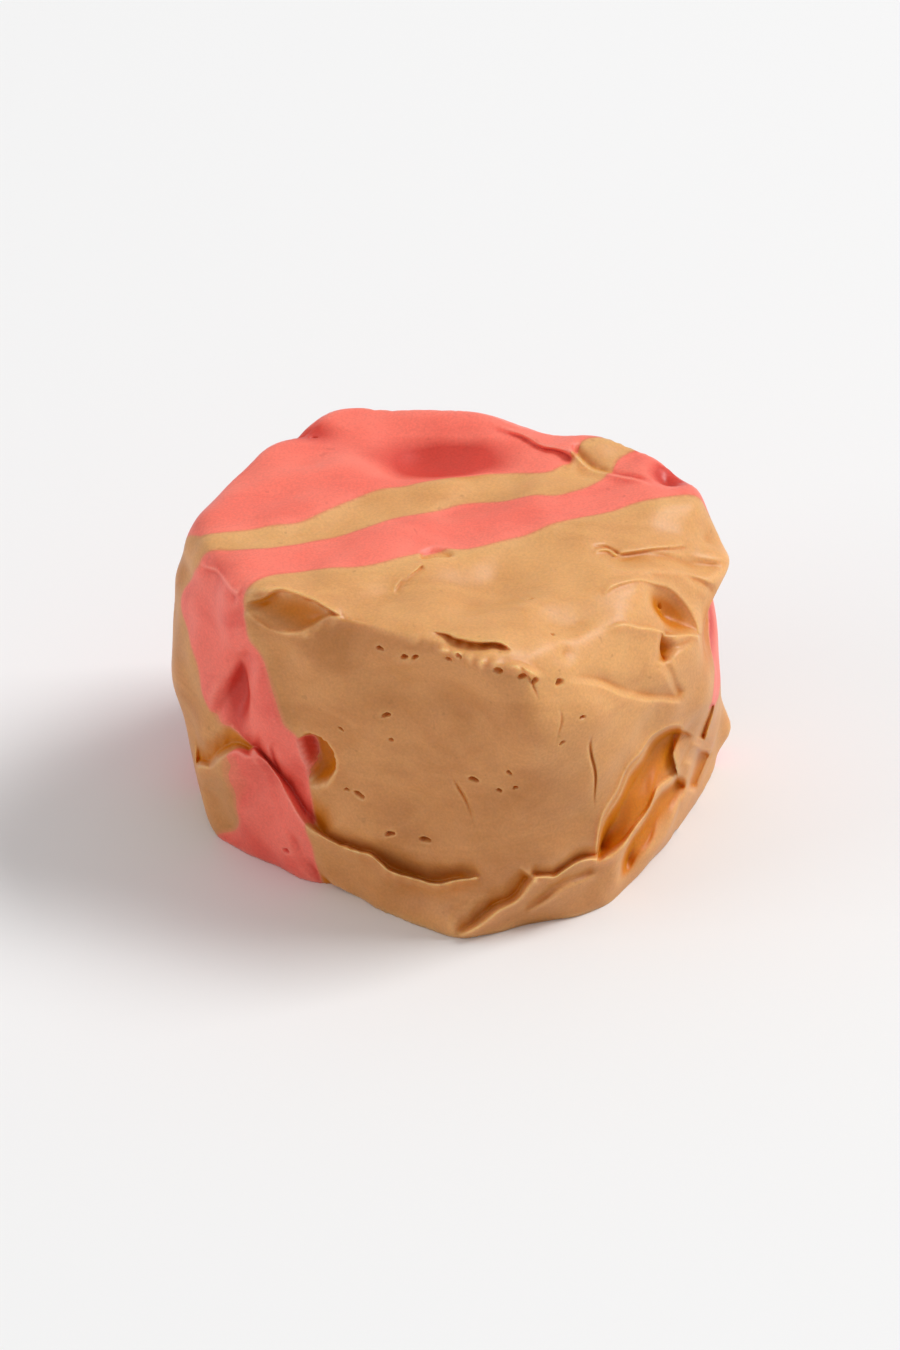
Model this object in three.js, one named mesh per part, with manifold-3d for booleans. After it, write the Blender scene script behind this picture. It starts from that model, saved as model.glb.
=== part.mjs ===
// A piece of pulled taffy, unwrapped: tan candy with coral pink bands run through it.
//
// The chunk was cut from a pulled rope, twisted up in paper and pressed by it, so it is a
// squat lump with blunt corners, a thumbed rim, a lip folded up along its foot and pleats
// where the paper was gathered. Four layers stand side by side in it, from the back to the
// front: pink, a tan stripe, pink again and the thick tan front. Each is a solid that runs
// right through the lump.
//
// Millimetres, +Z up, resting on z = 0. The front of the lump faces -Y.

import * as THREE from "three";
import { mergeVertices } from "three/addons/utils/BufferGeometryUtils.js";
import Module from "manifold-3d";

const wasm = await Module();
wasm.setup();

// ---------------------------------------------------------------- driving dimensions

const CORE = new THREE.Vector3(0, 0, 8.5); // the middle, from which every side is measured
const CRISPNESS = 26; // how sharply two sides meet: higher is sharper
const LAYER_GAP = 0.3; // clearance between neighbouring layers
const SKIN_DETAIL = 21; // each edge of the starting icosahedron is cut into this many more
const CROWDING = 0.4; // how strongly the skin's triangles crowd towards the folded corner
const CHORD_SAG = 0.1; // set out by this much, as the flats between points cut corners off
const CROWD_TURN = 22; // where they crowd: degrees round from the front
const CROWD_TILT = 2; // and degrees above level

// The lump's sides: turn is degrees round from the front towards +X, tilt is degrees that
// the side faces up, and reach is how far it lies from the middle.
const SIDES = {
  top: { turn: 45, tilt: 87, reach: 8.5 },
  underside: { turn: 0, tilt: -90, reach: 9.0 },
  front: { turn: -21, tilt: 4, reach: 8.9 },
  front_lip: { turn: -35, tilt: -5, reach: 9.6 },
  front_foot: { turn: 20, tilt: -6, reach: 11.5 },
  front_right: { turn: 50, tilt: 4, reach: 11.9 },
  right_foot: { turn: 64, tilt: -11, reach: 12.4 },
  right: { turn: 92, tilt: 2, reach: 13.6 },
  back_right: { turn: 132, tilt: 7, reach: 14.0 },
  back: { turn: 167, tilt: 8, reach: 11.5 },
  back_left: { turn: -138, tilt: 8, reach: 13.1 },
  upper_left: { turn: -119, tilt: 8, reach: 13.6 },
  top_left: { turn: -100, tilt: 45, reach: 14.7 },
  left: { turn: -58, tilt: 3, reach: 11.8 },
  far_left: { turn: -90, tilt: -12, reach: 13.75 },
  brow: { turn: 34, tilt: 16, reach: 12.2 },
  shoulder: { turn: 62, tilt: 42, reach: 12.1 },
  back_foot: { turn: 170, tilt: -20, reach: 12 },
};

// Marks are laid out as they are seen by an eye at EYE_DISTANCE from the middle: [across, up]
// in millimetres on the plane through the middle that faces the eye.
const EYE_DISTANCE = 600;
const FRONT_SIGHT = { turn: 0, rise: 35 };
const RIGHT_SIGHT = { turn: 90, rise: 5 };
const LEFT_SIGHT = { turn: -90, rise: 5 };
const BACK_SIGHT = { turn: 180, rise: 12 };
const UNDER_SIGHT = { turn: 0, rise: -70 };
const LEFT_BACK_SIGHT = { turn: -135, rise: 10 };

// A fold is a step along a line, measured as it is drawn. On the left of the line the skin
// comes towards the eye by left[0], fading over left[1], and on the right by right[0] over
// right[1]. FOLD_EDGE is how wide the step between them is, and fade is the length that each
// end takes to die away.
const FOLD_EDGE = 0.6;
const FOLDS = {
  foot_shelf: {
    path: [[-13.9, -4.5], [-12.5, -4.4], [-11.4, -4], [-10.5, -3.5], [-9.9, -3.8], [-8.5, -5.4],
      [-6.9, -7.1], [-6, -8]],
    left: [-0.95, 0.9], right: [0.35, 0.8], fade: [0.2, 1.2],
  },
  foot_lip: {
    path: [[-7.1, -7], [-6, -8], [-5.2, -8.7], [-4, -9], [-3, -9.9], [-1.5, -10.4], [0.5, -10.4],
      [1.6, -10]],
    left: [-0.7, 0.7], right: [0.5, 0.4], fade: [1.2, 1.4],
  },
  foot_valley: {
    path: [[0.2, -13], [1.4, -12.2], [3.2, -11], [4.2, -9.9]],
    left: [-0.75, 0.6], right: [0.35, 0.4], fade: [0.9, 0.3],
  },
  foot_flap: {
    path: [[4, -9.9], [5, -10], [6.2, -9.4], [7.8, -9.2]],
    left: [-0.7, 0.5], right: [0.35, 0.4], fade: [0.3, 0.6],
  },
  pocket_lip: {
    path: [[7.4, -9.7], [8.7, -8.4], [9.9, -6.8], [10.4, -6], [11, -5.4], [11.7, -4.9],
      [12.2, -4.1], [12.6, -3.3]],
    left: [0.3, 0.2], right: [0.4, 0.3], fade: [0.8, 0.3],
  },
  first_groove: {
    path: [[8.5, -10.7], [8.8, -9.4], [9.8, -7.7], [10.8, -6.1], [11.8, -5.1]],
    left: [-1.7, 0.3], right: [-1.7, 0.44], fade: [1.6, 0.5],
  },
  second_groove: {
    path: [[12, -5.9], [12.3, -5.1], [12.8, -3.7]],
    left: [-1.5, 0.2], right: [-1.5, 0.3], fade: [0.5, 0.3],
  },
  rim_crevice: {
    path: [[-1, 2.2], [0.2, 1.7], [1, 1.5], [2.6, 1.4], [3.1, 1.2]],
    left: [0.15, 0.3], right: [-0.8, 0.3], fade: [1, 0.5],
  },
  rim_bead: {
    path: [[-0.9, 1.4], [1, 0.9], [3.4, 0.3], [5.1, -0.3]],
    left: [0.3, 0.3], right: [0.35, 0.4], fade: [0.5, 1.2],
  },
  shoulder_rim: {
    path: [[5.4, -0.2], [7.4, -0.4], [9.3, -1], [11.8, -1.2]],
    left: [-0.35, 0.6], right: [0.2, 0.4], fade: [1.6, 0.5],
  },
  top_crease: {
    path: [[1.6, 12.5], [3.7, 11.8], [5.4, 11.2], [7.1, 10.6], [8.6, 10.1], [10.2, 9.4]],
    left: [0.4, 0.5], right: [-0.2, 0.5], fade: [3.5, 0.8],
  },
  spoon_edge: {
    path: [[7.5, 3.9], [8.7, 4.5], [10.6, 4.6], [11.9, 4], [12.6, 2.5], [12.6, 1.9]],
    left: [0.25, 0.3], right: [0.1, 0.2], fade: [0.8, 0.2],
  },
  spoon_lip: {
    path: [[7.6, 2.2], [8.7, 2.6], [10.3, 2.2], [12.7, 1.9]],
    left: [0.1, 0.2], right: [0.25, 0.35], fade: [1, 0.2],
  },
  band_valley: {
    path: [[7.6, 5.8], [9, 5.9], [10.5, 5.9], [12, 5.7], [13.3, 5.1]],
    left: [-0.42, 0.4], right: [-0.42, 0.4], fade: [1.6, 0.6],
  },
  outer_groove: {
    path: [[11.5, 5.1], [12.8, 4.6], [13.5, 3.6]],
    left: [-0.1, 0.3], right: [-0.4, 0.3], fade: [0.8, 0.1],
  },
  crumple: {
    path: [[10.5, 2.1], [10.4, 1], [10.5, 0.4], [10.8, -0.1], [11.8, -1.2]],
    left: [-0.5, 0.4], right: [0.2, 0.4], fade: [0.2, 0.4],
  },
  left_corner: {
    path: [[-10.3, 3.1], [-9.5, 0.1], [-8.5, -3], [-8, -4.1]],
    left: [0.25, 0.5], right: [0.35, 0.6], fade: [1.2, 1.2],
  },
  left_valley: {
    path: [[-10.2, 1.7], [-10.6, 0.6], [-11.7, -1.3], [-11.9, -2.5]],
    left: [-0.3, 0.7], right: [0.15, 0.6], fade: [0.8, 1],
  },
  left_rim: {
    path: [[-12.6, 5.6], [-11.7, 4.9], [-10.4, 4]],
    left: [0.3, 0.3], right: [-0.3, 0.4], fade: [0.6, 0.3],
  },
  paper_crease_back: {
    sight: BACK_SIGHT,
    path: [[-11, 4.5], [-6, 1.8], [-1, 1.2], [4, -1.4], [8.5, -3.2]],
    left: [0.35, 1.1], right: [-0.45, 0.9], fade: [2, 2.5],
  },
  paper_crease_low: {
    sight: BACK_SIGHT,
    path: [[-9.5, -4.2], [-5, -3.4], [-1.5, -5.6], [3, -6]],
    left: [-0.4, 0.7], right: [0.35, 1.0], fade: [1.2, 2],
  },
  back_corner_pleat: {
    sight: BACK_SIGHT,
    path: [[7, 6.2], [8.2, 3], [10.4, 0.5], [11.3, -2.5]],
    left: [0.4, 0.8], right: [-0.5, 0.7], fade: [1, 1.5],
  },
  left_back_fold: {
    sight: LEFT_BACK_SIGHT,
    path: [[-6.5, -5.5], [-3, -3.6], [0.5, -3.9], [4, -1.6], [6, 1.5]],
    left: [-0.5, 0.9], right: [0.5, 0.9], fade: [1, 2],
  },
  under_fold_left: {
    sight: UNDER_SIGHT,
    path: [[-10, 4], [-6.5, 2.6], [-3.5, 3.2], [-0.5, 1.5]],
    left: [-0.6, 0.8], right: [-0.2, 0.8], fade: [0.3, 1.6],
  },
  under_fold_right: {
    sight: UNDER_SIGHT,
    path: [[11.5, -2], [8, -1.4], [5.5, 0.4], [2.5, 0]],
    left: [-0.2, 0.7], right: [-0.6, 0.8], fade: [0.3, 1.6],
  },
};

// A hollow lies between two lines that run the same way: it falls away from its rim, which it
// has on its left, and ends under its lip. It is deepest at run, as a share of the way across,
// and by the lip it has risen again to lipShare of its depth. It dies away over narrow where
// the lines meet, and over fade at either end.
const HOLLOWS = {
  pocket: {
    rim: [[7.4, -9.6], [7.5, -8.4], [7.7, -7.4], [8.4, -6.1], [9.2, -4.8], [10, -3.5],
      [10.9, -2.65], [11.5, -3.1], [12, -4]],
    lip: FOLDS.pocket_lip.path, depth: 2, run: 0.35, lipShare: 0.35, narrow: 0.8,
    fade: [2.5, 0.8],
  },
  spoon_bowl: {
    rim: FOLDS.spoon_edge.path, lip: FOLDS.spoon_lip.path, depth: 0.2, run: 0.6,
    lipShare: 0.8, narrow: 0.8, fade: [3.2, 0.6],
  },
};

// A thumbprint was left by a blunt end: all that stood above its floor was pushed down to it.
// Its oval is radii wide and long, turned by turn degrees, and bluntness is how flat it is. A
// straight wall stands in it at straight, in millimetres from its middle.
const THUMBPRINTS = {
  thumbed_rim: { at: [-7.6, 3.05], radii: [2.35, 1.15], turn: -8, depth: 0.75, bluntness: 1 },
  dimple: { at: [-6.9, -4.35], radii: [1.2, 1.6], turn: 0, depth: 1.35, bluntness: 2.2,
    straight: -0.55, straightTurn: 19 },
};
const STRAIGHT_STEEPNESS = 2;

// A dent is an oval hollow that fades out all round, or a bulge where its depth is negative.
const DENTS = {
  left_hollow: { at: [-10.8, -1.1], radii: [1, 2.3], turn: -4, depth: 1 },
  top_hollow: { at: [-0.4, 11.2], radii: [4.4, 2.4], turn: 0, depth: 0.95 },
  top_dip: { at: [1.6, 4.6], radii: [5.8, 3], turn: 8, depth: 0.42 },
  brow_press: { at: [-2.2, -0.9], radii: [3, 1.5], turn: -12, depth: 0.55 },
  face_hollow: { at: [-1, -5.8], radii: [4.5, 4.5], turn: 0, depth: 0.45 },
  bowl_floor: { at: [11.2, 3.35], radii: [1.8, 1.15], turn: -14, depth: 1 },
  side_valley: { at: [6.5, 2.9], radii: [2.6, 1.3], turn: 25, depth: 0.5 },
  lobe_dent: { at: [13.3, 6.85], radii: [0.8, 1], turn: -30, depth: 0.5 },
  foot_cheek: { at: [-9.6, -7.4], radii: [2.6, 2.4], turn: 0, depth: -0.3 },
  foot_toe: { at: [0.4, -12.4], radii: [2.2, 1.6], turn: 0, depth: -1.25 },
  back_notch: { at: [11.1, 10.2], radii: [1.3, 1.3], turn: 0, depth: 1 },
  back_swell: { at: [0.8, 12.9], radii: [3, 1.6], turn: 0, depth: -0.9 },
  back_dip: { at: [-7.3, 12.3], radii: [2.4, 1.4], turn: 0, depth: 0.6 },
  far_corner: { at: [7.5, 11.7], radii: [2.5, 1.2], turn: 0, depth: -0.35 },
  flap_lobe: { at: [13.65, -2.7], radii: [0.8, 1.5], turn: -8, depth: -0.5 },
  upper_lobe: { at: [13.4, 5.7], radii: [1.5, 2.6], turn: 0, depth: -1.1 },
  right_waist: { sight: RIGHT_SIGHT, at: [1.5, 1.9], radii: [4.5, 2.6], turn: 0, depth: 0.9 },
  left_waist: { sight: LEFT_SIGHT, at: [0.5, 5.2], radii: [3.2, 1.2], turn: 0, depth: 0.25 },
  back_press: { sight: BACK_SIGHT, at: [-2.5, -0.8], radii: [5, 3.4], turn: 15, depth: 0.6 },
  back_nick: { sight: BACK_SIGHT, at: [4.6, 4.2], radii: [1.3, 1.0], turn: 20, depth: 0.7 },
  under_press: { sight: UNDER_SIGHT, at: [1.5, 4.6], radii: [4, 2.2], turn: 0, depth: 0.5 },
};

// Slow waves over the whole skin: [waves per millimetre along x, y and z, height].
const RIPPLES = [
  { wave: [0.11, 0.05, 0.09], height: 0.14, phase: 0.4 },
  { wave: [-0.06, 0.13, 0.12], height: 0.12, phase: 2.1 },
  { wave: [0.19, -0.12, 0.07], height: 0.07, phase: 4.0 },
];

// The sheets between the layers, from the back of the lump to the front. line is where a sheet
// meets the top, as [x, y]. Lower down it drifts by [z, dy], at the left end of the lump by
// left_drift and at the right end by right_drift, and not at all between them.
const SHEETS = [
  {
    line: [[-16, 0.4], [-13, 0.1], [-11.5, -0.4], [-9.6, 0.15], [-7.6, 0.65], [-6, 1.65],
      [-4.3, 3], [-2.3, 4.1], [-0.4, 4.9], [1, 5.45], [3, 5.75], [4.8, 5.5], [5.75, 6.4],
      [6.2, 6.85], [6.45, 7.8], [8.5, 8.9], [11, 10.6], [16, 13]],
    left_drift: [[0, 2], [5, 2], [9, 2.4], [13, 2.4], [16, 1.1], [17, 0]],
    right_drift: [[0, -2.5], [8, -2], [13, -0.8], [17, 0]],
  },
  {
    line: [[-16, -1.8], [-12.4, -1.5], [-9.9, -1.85], [-7.8, -1], [-5.95, -0.2], [-4, 0.5],
      [-1.6, 1.75], [1, 3.2], [3, 3.1], [5, 3.15], [6.4, 4], [7.3, 5.1], [8, 5.95],
      [8.3, 6.9], [9, 7.7], [12, 9.8], [16, 11.6]],
    left_drift: [[0, -0.4], [2, -1.85], [3.3, -2.15], [5.2, -2.45], [6.9, -2.45],
      [7.4, -2], [8, -1.6], [9, -1], [10, -0.7], [11.2, -0.3], [12.3, 1],
      [13.5, 1.5], [14.8, 1], [16, 0.2], [17, 0]],
    right_drift: [[0, -5], [8, -4.4], [12, -3], [17, 0]],
  },
  {
    line: [[-16, -6.6], [-12, -5.6], [-10, -4.9], [-8.6, -3.9], [-7.2, -3.1], [-5.9, -3.15],
      [-3.6, -2.7], [-0.6, -1.2], [1, -0.95], [2.3, -0.5], [4.4, 0.4], [6.4, 1.5],
      [8.1, 2.3], [9.1, 3], [10.4, 3.4], [11.7, 4.2], [16, 6.5]],
    left_drift: [[0, -6.4], [0.9, -5.85], [2.7, -5.65], [4, -5], [5.45, -4.9], [6.3, -4.5],
      [7.6, -4.5], [8.6, -3.9], [9.4, -2.6], [10.2, -2.24], [11.5, -1.66], [12.8, -1.12],
      [13.8, -0.56], [15.3, -0.15], [17, 0]],
    right_drift: [[0, -1], [5, -1], [6.4, -2.2], [7.2, -5.8], [8, -6.8], [8.8, -6.6],
      [9.4, -5.2], [9.8, -4], [10.3, -1.7], [12, -1.2], [17, 0]],
  },
];
const LEFT_DRIFT_ENDS = [-8.5, -4.5]; // x where the left drift starts to die away, and is gone
const RIGHT_DRIFT_ENDS = [13, 8];
const SLAB = { halfWidth: 18, halfDepth: 18, low: -2, high: 20, columns: 24, rows: 11 };

const LAYERS = [
  { name: "back_pink_layer", color: 0xef7a6a },
  { name: "tan_stripe_layer", color: 0xc9935a },
  { name: "front_pink_layer", color: 0xef7a6a },
  { name: "front_tan_layer", color: 0xc9935a },
];

// ---------------------------------------------------------------- the plain lump

// A direction from degrees round from the front and degrees up from level.
function direction(turn, tilt) {
  const t = THREE.MathUtils.degToRad(turn);
  const e = THREE.MathUtils.degToRad(tilt);
  return new THREE.Vector3(Math.sin(t) * Math.cos(e), -Math.cos(t) * Math.cos(e), Math.sin(e));
}

// Each side's outward direction, divided by its distance from the middle.
const facings = Object.values(SIDES).map((s) => direction(s.turn, s.tilt).divideScalar(s.reach));

// Below 1 inside the lump, 1 on its skin and above 1 outside.
function level(point) {
  const from = point.clone().sub(CORE);
  let sum = 0;
  for (const facing of facings) sum += Math.max(0, facing.dot(from)) ** CRISPNESS;
  return sum ** (1 / CRISPNESS);
}

function outwards(point) {
  const from = point.clone().sub(CORE);
  const normal = new THREE.Vector3();
  for (const facing of facings) {
    normal.addScaledVector(facing, Math.max(0, facing.dot(from)) ** (CRISPNESS - 1));
  }
  return normal.normalize();
}

function skinPoint(heading) {
  const ahead = CORE.clone().add(heading);
  return CORE.clone().addScaledVector(heading, 1 / level(ahead));
}

// ---------------------------------------------------------------- laying marks on it

// The eye of a sight, with the directions that are right, up and towards it.
function look(sight = FRONT_SIGHT) {
  const back = direction(sight.turn, sight.rise);
  const t = THREE.MathUtils.degToRad(sight.turn);
  const right = new THREE.Vector3(Math.cos(t), Math.sin(t), 0);
  const up = back.clone().cross(right);
  return { right, up, back, eye: CORE.clone().addScaledVector(back, EYE_DISTANCE) };
}

// Where a point is drawn, as [across, up, 0].
function drawnAt(point, view) {
  const from = point.clone().sub(CORE);
  const scale = EYE_DISTANCE / (EYE_DISTANCE - from.dot(view.back));
  return new THREE.Vector3(from.dot(view.right) * scale, from.dot(view.up) * scale, 0);
}

const REACH = 22; // how far either side of the middle a line of sight is followed
const STRIDE = 0.25;
const HALVINGS = 16;

// Where the line of sight through [across, up] first meets the lump, or null if it misses.
function seen([across, up], sight) {
  const view = look(sight);
  const target = CORE.clone().addScaledVector(view.right, across).addScaledVector(view.up, up);
  const ray = target.clone().sub(view.eye).normalize();
  const at = (distance) => target.clone().addScaledVector(ray, distance);
  let far = -REACH;
  while (far < REACH && level(at(far)) > 1) far += STRIDE;
  if (far >= REACH) return null;
  let near = far - STRIDE;
  for (let halving = 0; halving < HALVINGS; halving++) {
    const middle = (near + far) / 2;
    if (level(at(middle)) > 1) near = middle;
    else far = middle;
  }
  return at(far);
}

const smooth = (t) => THREE.MathUtils.smoothstep(t, 0, 1);
const bell = (t) => Math.exp(-t * t);

// A line's path as short straight runs of the drawing, rounded by EASING passes on the skin.
const RUNS_PER_POINT = 8;
const EASING = 24;
function tracePath(path, sight) {
  const drawn = new THREE.CatmullRomCurve3(
    path.map(([across, up]) => new THREE.Vector3(across, up, 0)), false, "catmullrom", 0.5);
  let points = drawn.getPoints(RUNS_PER_POINT * (path.length - 1))
    .map((p) => seen([p.x, p.y], sight)).filter((p) => p !== null);
  for (let pass = 0; pass < EASING; pass++) {
    points = points.map((p, i) => (i === 0 || i === points.length - 1
      ? p
      : points[i - 1].clone().add(points[i + 1]).multiplyScalar(0.25).addScaledVector(p, 0.5)));
  }
  const view = look(sight);
  points = points.map((p) => drawnAt(p, view));
  const runs = [];
  let start = 0;
  for (let i = 0; i + 1 < points.length; i++) {
    const line = new THREE.Line3(points[i], points[i + 1]);
    const length = line.distance();
    runs.push({ line, length, start, heading: line.delta(new THREE.Vector3()).normalize() });
    start += length;
  }
  return { runs, length: start, view };
}

// How far to the left of a line a drawn point lies, and how far along it.
function measure(trace, drawn) {
  const foot = new THREE.Vector3();
  let nearest = null;
  let best = Infinity;
  for (const run of trace.runs) {
    run.line.closestPointToPoint(drawn, true, foot);
    const distance = foot.distanceTo(drawn);
    if (distance < best) {
      best = distance;
      nearest = { run, foot: foot.clone() };
    }
  }
  const { run } = nearest;
  const away = drawn.clone().sub(nearest.foot);
  const side = best * Math.sign(run.heading.x * away.y - run.heading.y * away.x);
  return { side, along: run.start + nearest.foot.distanceTo(run.line.start) };
}

// How fully a mark is taken in where the skin faces this way, and near the mark's ends.
const FACING = 0.2;
function strength(mark, trace, along, normal) {
  return smooth(normal.dot(trace.view.back) / FACING)
    * smooth(along / mark.fade[0]) * smooth((trace.length - along) / mark.fade[1]);
}

// How far a fold moves one point of the skin towards the eye.
function foldRise(fold, trace, point, normal) {
  const { side, along } = measure(trace, drawnAt(point, trace.view));
  const step = smooth(0.5 + 0.5 * side / FOLD_EDGE);
  const rise = step * fold.left[0] * bell(side / fold.left[1])
    + (1 - step) * fold.right[0] * bell(side / fold.right[1]);
  return rise * strength(fold, trace, along, normal);
}

// How far a hollow moves one point of the skin away from the eye.
const LIP_EDGE = 0.25;
const SLIVER = 1e-3; // keeps a share finite where a hollow has no width or no run-out
function hollowDepth(hollow, rim, lip, point, normal) {
  const drawn = drawnAt(point, rim.view);
  const fromRim = measure(rim, drawn);
  const fromLip = measure(lip, drawn).side;
  const a = Math.max(-fromRim.side, 0);
  const b = Math.max(fromLip, 0);
  const across = a / (a + b + SLIVER);
  const rising = smooth((across - hollow.run) / (1 + SLIVER - hollow.run));
  const floor = smooth(across / hollow.run) * (1 - (1 - hollow.lipShare) * rising)
    * smooth((a + b) / hollow.narrow) * smooth(0.5 + 0.5 * fromLip / LIP_EDGE);
  return hollow.depth * floor * strength(hollow, rim, fromRim.along, normal);
}

// The middle of an oval mark on the skin, or at the lump's edge if it is drawn outside it.
const PULL_IN = 0.005; // share of the way to the middle that each try moves the mark in
const LEAST_SHARE = 0.8;
function nearestSeen([across, up], sight) {
  for (let share = 1; share > LEAST_SHARE; share -= PULL_IN) {
    const found = seen([across * share, up * share], sight);
    if (found) return found;
  }
  throw new Error("a mark is nowhere near the lump");
}

// An oval mark's middle on the skin, with its own two axes and the way it faces.
function placeOval(oval) {
  const middle = nearestSeen(oval.at, oval.sight);
  const facing = outwards(middle);
  const view = look(oval.sight);
  const across = view.right.clone().addScaledVector(facing, -view.right.dot(facing)).normalize();
  across.applyAxisAngle(facing, THREE.MathUtils.degToRad(oval.turn));
  const along = facing.clone().cross(across);
  return { middle, facing, across, along };
}

const DENT_TIGHTNESS = 1.3; // how much of a dent lies within its radii: higher is more
function dentDepth(dent, place, point) {
  const from = point.clone().sub(place.middle);
  const [wide, long] = dent.radii;
  const span = Math.hypot(from.dot(place.across) / wide, from.dot(place.along) / long,
    from.dot(place.facing) / (2 * Math.max(wide, long)));
  return dent.depth * bell(DENT_TIGHTNESS * span);
}

// Pushes a point of the skin down to a thumbprint's floor.
const PRINT_SPAN = 1.5; // past this share of its oval, squared, a thumbprint moves nothing
const PRINT_REACH = 2; // nor does it, this many depths below the skin
const STRAIGHT_START = 0.5; // the straight wall stands up from this share of the depth
function pushDown(print, place, point) {
  const from = point.clone().sub(place.middle);
  const u = from.dot(place.across);
  const v = from.dot(place.along);
  const high = from.dot(place.facing);
  const span = (u / print.radii[0]) ** 2 + (v / print.radii[1]) ** 2;
  if (span > PRINT_SPAN || high < -PRINT_REACH * print.depth) return;
  let floor = -print.depth * (1 - span ** print.bluntness);
  if (print.straight !== undefined) {
    const turn = THREE.MathUtils.degToRad(print.straightTurn);
    const wall = print.straight - (u * Math.cos(turn) + v * Math.sin(turn));
    floor = Math.max(floor, STRAIGHT_STEEPNESS * wall - STRAIGHT_START * print.depth);
  }
  if (high > floor) point.addScaledVector(place.facing, floor - high);
}

function rippleHeight(point) {
  let height = 0;
  for (const ripple of RIPPLES) {
    const turns = new THREE.Vector3(...ripple.wave).dot(point);
    height += ripple.height * Math.sin(2 * Math.PI * turns + ripple.phase);
  }
  return height;
}

// ---------------------------------------------------------------- the finished lump

const folds = Object.values(FOLDS).map((fold) => (
  { fold, trace: tracePath(fold.path, fold.sight) }));
const hollows = Object.values(HOLLOWS).map((hollow) => (
  { hollow, rim: tracePath(hollow.rim), lip: tracePath(hollow.lip) }));
const prints = Object.values(THUMBPRINTS).map((print) => ({ print, place: placeOval(print) }));
const dents = Object.values(DENTS).map((dent) => ({ dent, place: placeOval(dent) }));

// A plain lump's point moved by every mark, and pressed level where the lump rests.
function markedPoint(point) {
  const normal = outwards(point);
  const moved = point.clone().addScaledVector(normal, CHORD_SAG + rippleHeight(point));
  for (const { print, place } of prints) pushDown(print, place, moved);
  for (const { fold, trace } of folds) {
    moved.addScaledVector(trace.view.back, foldRise(fold, trace, point, normal));
  }
  for (const { hollow, rim, lip } of hollows) {
    moved.addScaledVector(rim.view.back, -hollowDepth(hollow, rim, lip, point, normal));
  }
  for (const { dent, place } of dents) {
    moved.addScaledVector(normal, -dentDepth(dent, place, point));
  }
  moved.z = Math.max(0, moved.z);
  return moved;
}

function lumpGeometry() {
  const ball = new THREE.IcosahedronGeometry(1, SKIN_DETAIL);
  ball.deleteAttribute("normal");
  ball.deleteAttribute("uv");
  const skin = mergeVertices(ball, 1e-4);
  const crowd = direction(CROWD_TURN, CROWD_TILT).multiplyScalar(CROWDING);
  const position = skin.getAttribute("position");
  const heading = new THREE.Vector3();
  for (let i = 0; i < position.count; i++) {
    heading.fromBufferAttribute(position, i).add(crowd).normalize();
    const point = markedPoint(skinPoint(heading));
    position.setXYZ(i, point.x, point.y, point.z);
  }
  return skin;
}

// ---------------------------------------------------------------- cutting it into layers

// A value that runs smoothly through a list of [at, value].
function through(list, at) {
  let i = 0;
  while (i < list.length - 2 && at > list[i + 1][0]) i++;
  const slope = (a, b) => (list[b][1] - list[a][1]) / (list[b][0] - list[a][0]);
  const width = list[i + 1][0] - list[i][0];
  const startSlope = slope(Math.max(0, i - 1), i + 1);
  const endSlope = slope(i, Math.min(list.length - 1, i + 2));
  const t = THREE.MathUtils.clamp((at - list[i][0]) / width, 0, 1);
  return list[i][1] + (list[i + 1][1] - list[i][1]) * t * t * (3 - 2 * t)
    + startSlope * width * t * (1 - t) * (1 - t) - endSlope * width * t * t * (1 - t);
}

function sheetDepth(sheet, x, z) {
  const share = ([whole, gone]) => 1 - smooth((x - whole) / (gone - whole));
  return through(sheet.line, x) + share(LEFT_DRIFT_ENDS) * through(sheet.left_drift, z)
    + share(RIGHT_DRIFT_ENDS) * through(sheet.right_drift, z);
}

// Everything behind a sheet that has been moved back by shift.
function behindGeometry(sheet, shift) {
  const height = SLAB.high - SLAB.low;
  const slab = new THREE.BoxGeometry(2 * SLAB.halfWidth, 1, height, SLAB.columns, 1, SLAB.rows);
  slab.deleteAttribute("normal");
  slab.deleteAttribute("uv");
  slab.translate(0, 0, SLAB.low + height / 2);
  const solid = mergeVertices(slab, 1e-4);
  const position = solid.getAttribute("position");
  for (let i = 0; i < position.count; i++) {
    const isSheet = position.getY(i) < 0;
    const depth = sheetDepth(sheet, position.getX(i), position.getZ(i));
    position.setY(i, isSheet ? depth + shift : SLAB.halfDepth);
  }
  return solid;
}

function toSolid(geometry) {
  const mesh = new wasm.Mesh({
    numProp: 3,
    vertProperties: new Float32Array(geometry.getAttribute("position").array),
    triVerts: new Uint32Array(geometry.getIndex().array),
  });
  return new wasm.Manifold(mesh);
}

function toGeometry(solid) {
  const mesh = solid.getMesh();
  const geometry = new THREE.BufferGeometry();
  geometry.setAttribute("position", new THREE.BufferAttribute(new Float32Array(mesh.vertProperties), 3));
  geometry.setIndex(new THREE.BufferAttribute(new Uint32Array(mesh.triVerts), 1));
  geometry.computeVertexNormals();
  return geometry;
}

// The lump between its two sheets, half a gap clear of each.
function cutLayer(lump, sheetBehind, sheetInFront) {
  let layer = lump;
  if (sheetInFront) {
    layer = layer.intersect(toSolid(behindGeometry(sheetInFront, LAYER_GAP / 2)));
  }
  if (sheetBehind) {
    layer = layer.subtract(toSolid(behindGeometry(sheetBehind, -LAYER_GAP / 2)));
  }
  return layer;
}

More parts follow.
